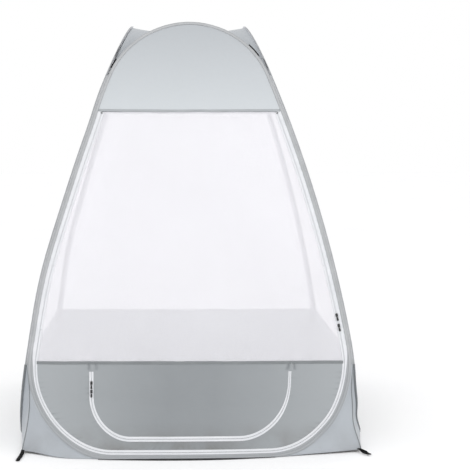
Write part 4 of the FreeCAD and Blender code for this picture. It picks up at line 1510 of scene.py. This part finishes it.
def webbing_loop(name, route, twists, opening):
    """A doubled strip of webbing: out along one layer, round the end and back along the other."""
    half_width_web, thickness = 0.0075, 0.0016
    count = 60
    along_route = np.linspace(0, 1, count)
    line = smooth_line(route, count)
    tangent = unit(np.gradient(line, axis=0))
    flat_side = unit(np.cross(tangent, [0, 0, 1.0]))
    flat_up = np.cross(flat_side, tangent)
    twist = np.radians(np.interp(along_route, np.linspace(0, 1, len(twists)), twists))[:, None]
    side = flat_side * np.cos(twist) + flat_up * np.sin(twist)
    up = flat_up * np.cos(twist) - flat_side * np.sin(twist)
    swell = np.sin(np.linspace(0.10, math.pi * 0.86, count)) ** 0.8
    spread = (opening * swell / 2 + thickness * 0.55)[:, None]
    bend = np.radians(np.linspace(-80, 80, 9))[:, None]
    round_end = tangent[-1] * np.cos(bend) + up[-1] * np.sin(bend)
    end_points = line[-1] + round_end * spread[-1]
    rows = np.vstack([line - up * spread, end_points, (line + up * spread)[::-1]])
    across = np.vstack([side, np.repeat(side[-1:], len(bend), axis=0), side[::-1]])
    out = np.vstack([-up, round_end, up[::-1]])
    ring_x = np.array([-1, -0.94, -0.4, 0.4, 0.94, 1, 0.94, 0.4, -0.4, -0.94]) * half_width_web
    ring_y = np.array([0, 0.45, 0.5, 0.5, 0.45, 0, -0.45, -0.5, -0.5, -0.45]) * thickness
    ring = ring_x[None, :, None] * across[:, None] + ring_y[None, :, None] * out[:, None]
    along = lengths(rows)
    around = np.append(ring_x + half_width_web, 0.0)
    uvs = grid_uvs(along, around)
    return swept(name, rows, ring, uvs, WEBBING)


def make_peg_loops():
    low = 0.0034
    start = (0.7320, -0.7325, CORNER_LIFT + 0.001)
    straight = [start, (0.7315, -0.7620, 0.0085), (0.7340, -0.8000, low + 0.001)]
    straight += [(0.7370, -0.8350, low), (0.7390, -0.8640, low)]
    twisted = [start, (0.7420, -0.7520, 0.0125), (0.7530, -0.7640, 0.0090)]
    twisted += [(0.7640, -0.7800, 0.0085), (0.7730, -0.8000, 0.0090)]
    for corner in CORNERS:
        front, right = corner.startswith("front"), corner.endswith("right")
        route = np.array(twisted if corner == "front_right" else straight)
        if not right:
            route = route * np.array([-1, 1, 1])
        if not front:
            route = route * np.array([1, -1, 1])
        twists = [10, 60, 85, 60, 20] if corner == "front_right" else [0, 6, 4, 0, 0]
        loop = webbing_loop(f"peg_webbing_{corner}", route, twists, 0.0035)
        fix(loop, body=f"{corner}_peg_loop", replaces=[f"peg_loop_{corner}"])


# ---- Stage, lights and camera --------------------------------------------------------------------------
def make_stage():
    size = 30.0
    corners = [(-size, -size, 0), (size, -size, 0), (size, size, 0), (-size, size, 0)]
    corners = np.array(corners)
    floor = new_object("studio_floor", corners, [(0, 1, 2, 3)], corners[:, :2], studio_floor("studio_floor"))
    floor.location.z = -0.0006
    world = bpy.data.worlds.new("studio")
    world.use_nodes = True
    world.node_tree.nodes["Background"].inputs["Color"].default_value = (1.0, 1.0, 1.0, 1)
    world.node_tree.nodes["Background"].inputs["Strength"].default_value = 1.0
    bpy.context.scene.world = world
    bpy.context.scene.view_settings.view_transform = "Standard"
    for name, place_at, aim, size, power in (
        ("key", (-0.9, -5.0, 4.2), (0, 0, 0.9), 3.4, 48),
        ("fill", (3.6, -3.8, 2.6), (0, 0, 0.9), 2.6, 18),
    ):
        light = bpy.data.lights.new(name, "AREA")
        light.size = size
        light.energy = power
        lamp = linked(name, light)
        lamp.location = place_at
        lamp.rotation_euler = (Vector(aim) - Vector(place_at)).to_track_quat("-Z", "Y").to_euler()


CAMERA_DISTANCE, CAMERA_HEIGHT = 5.786, 1.420
CAMERA_PITCH, CAMERA_YAW = 5.274, 0.7


def make_camera():
    camera = bpy.data.cameras.new("camera")
    camera.sensor_width = 36.0
    camera.lens = 90.44
    camera.shift_x = 0.0986
    holder = linked("camera", camera)
    yaw = math.radians(CAMERA_YAW)
    holder.location = (-CAMERA_DISTANCE * math.sin(yaw), -CAMERA_DISTANCE * math.cos(yaw), CAMERA_HEIGHT)
    holder.rotation_euler = (math.radians(90 - CAMERA_PITCH), 0, -yaw)
    bpy.context.scene.camera = holder


make_camera()
make_stage()
make_hoops()
make_ferrules()
make_headers()
make_header_hems()
make_mesh_walls()
make_bands()
make_corner_strips()
make_gussets()
make_roof()
make_floor()
make_foot_strip()
make_door_zip()
make_door_mesh()
make_door_band()
make_hatch()
make_hatch_zip()
make_sliders()
make_stops()
make_peg_loops()
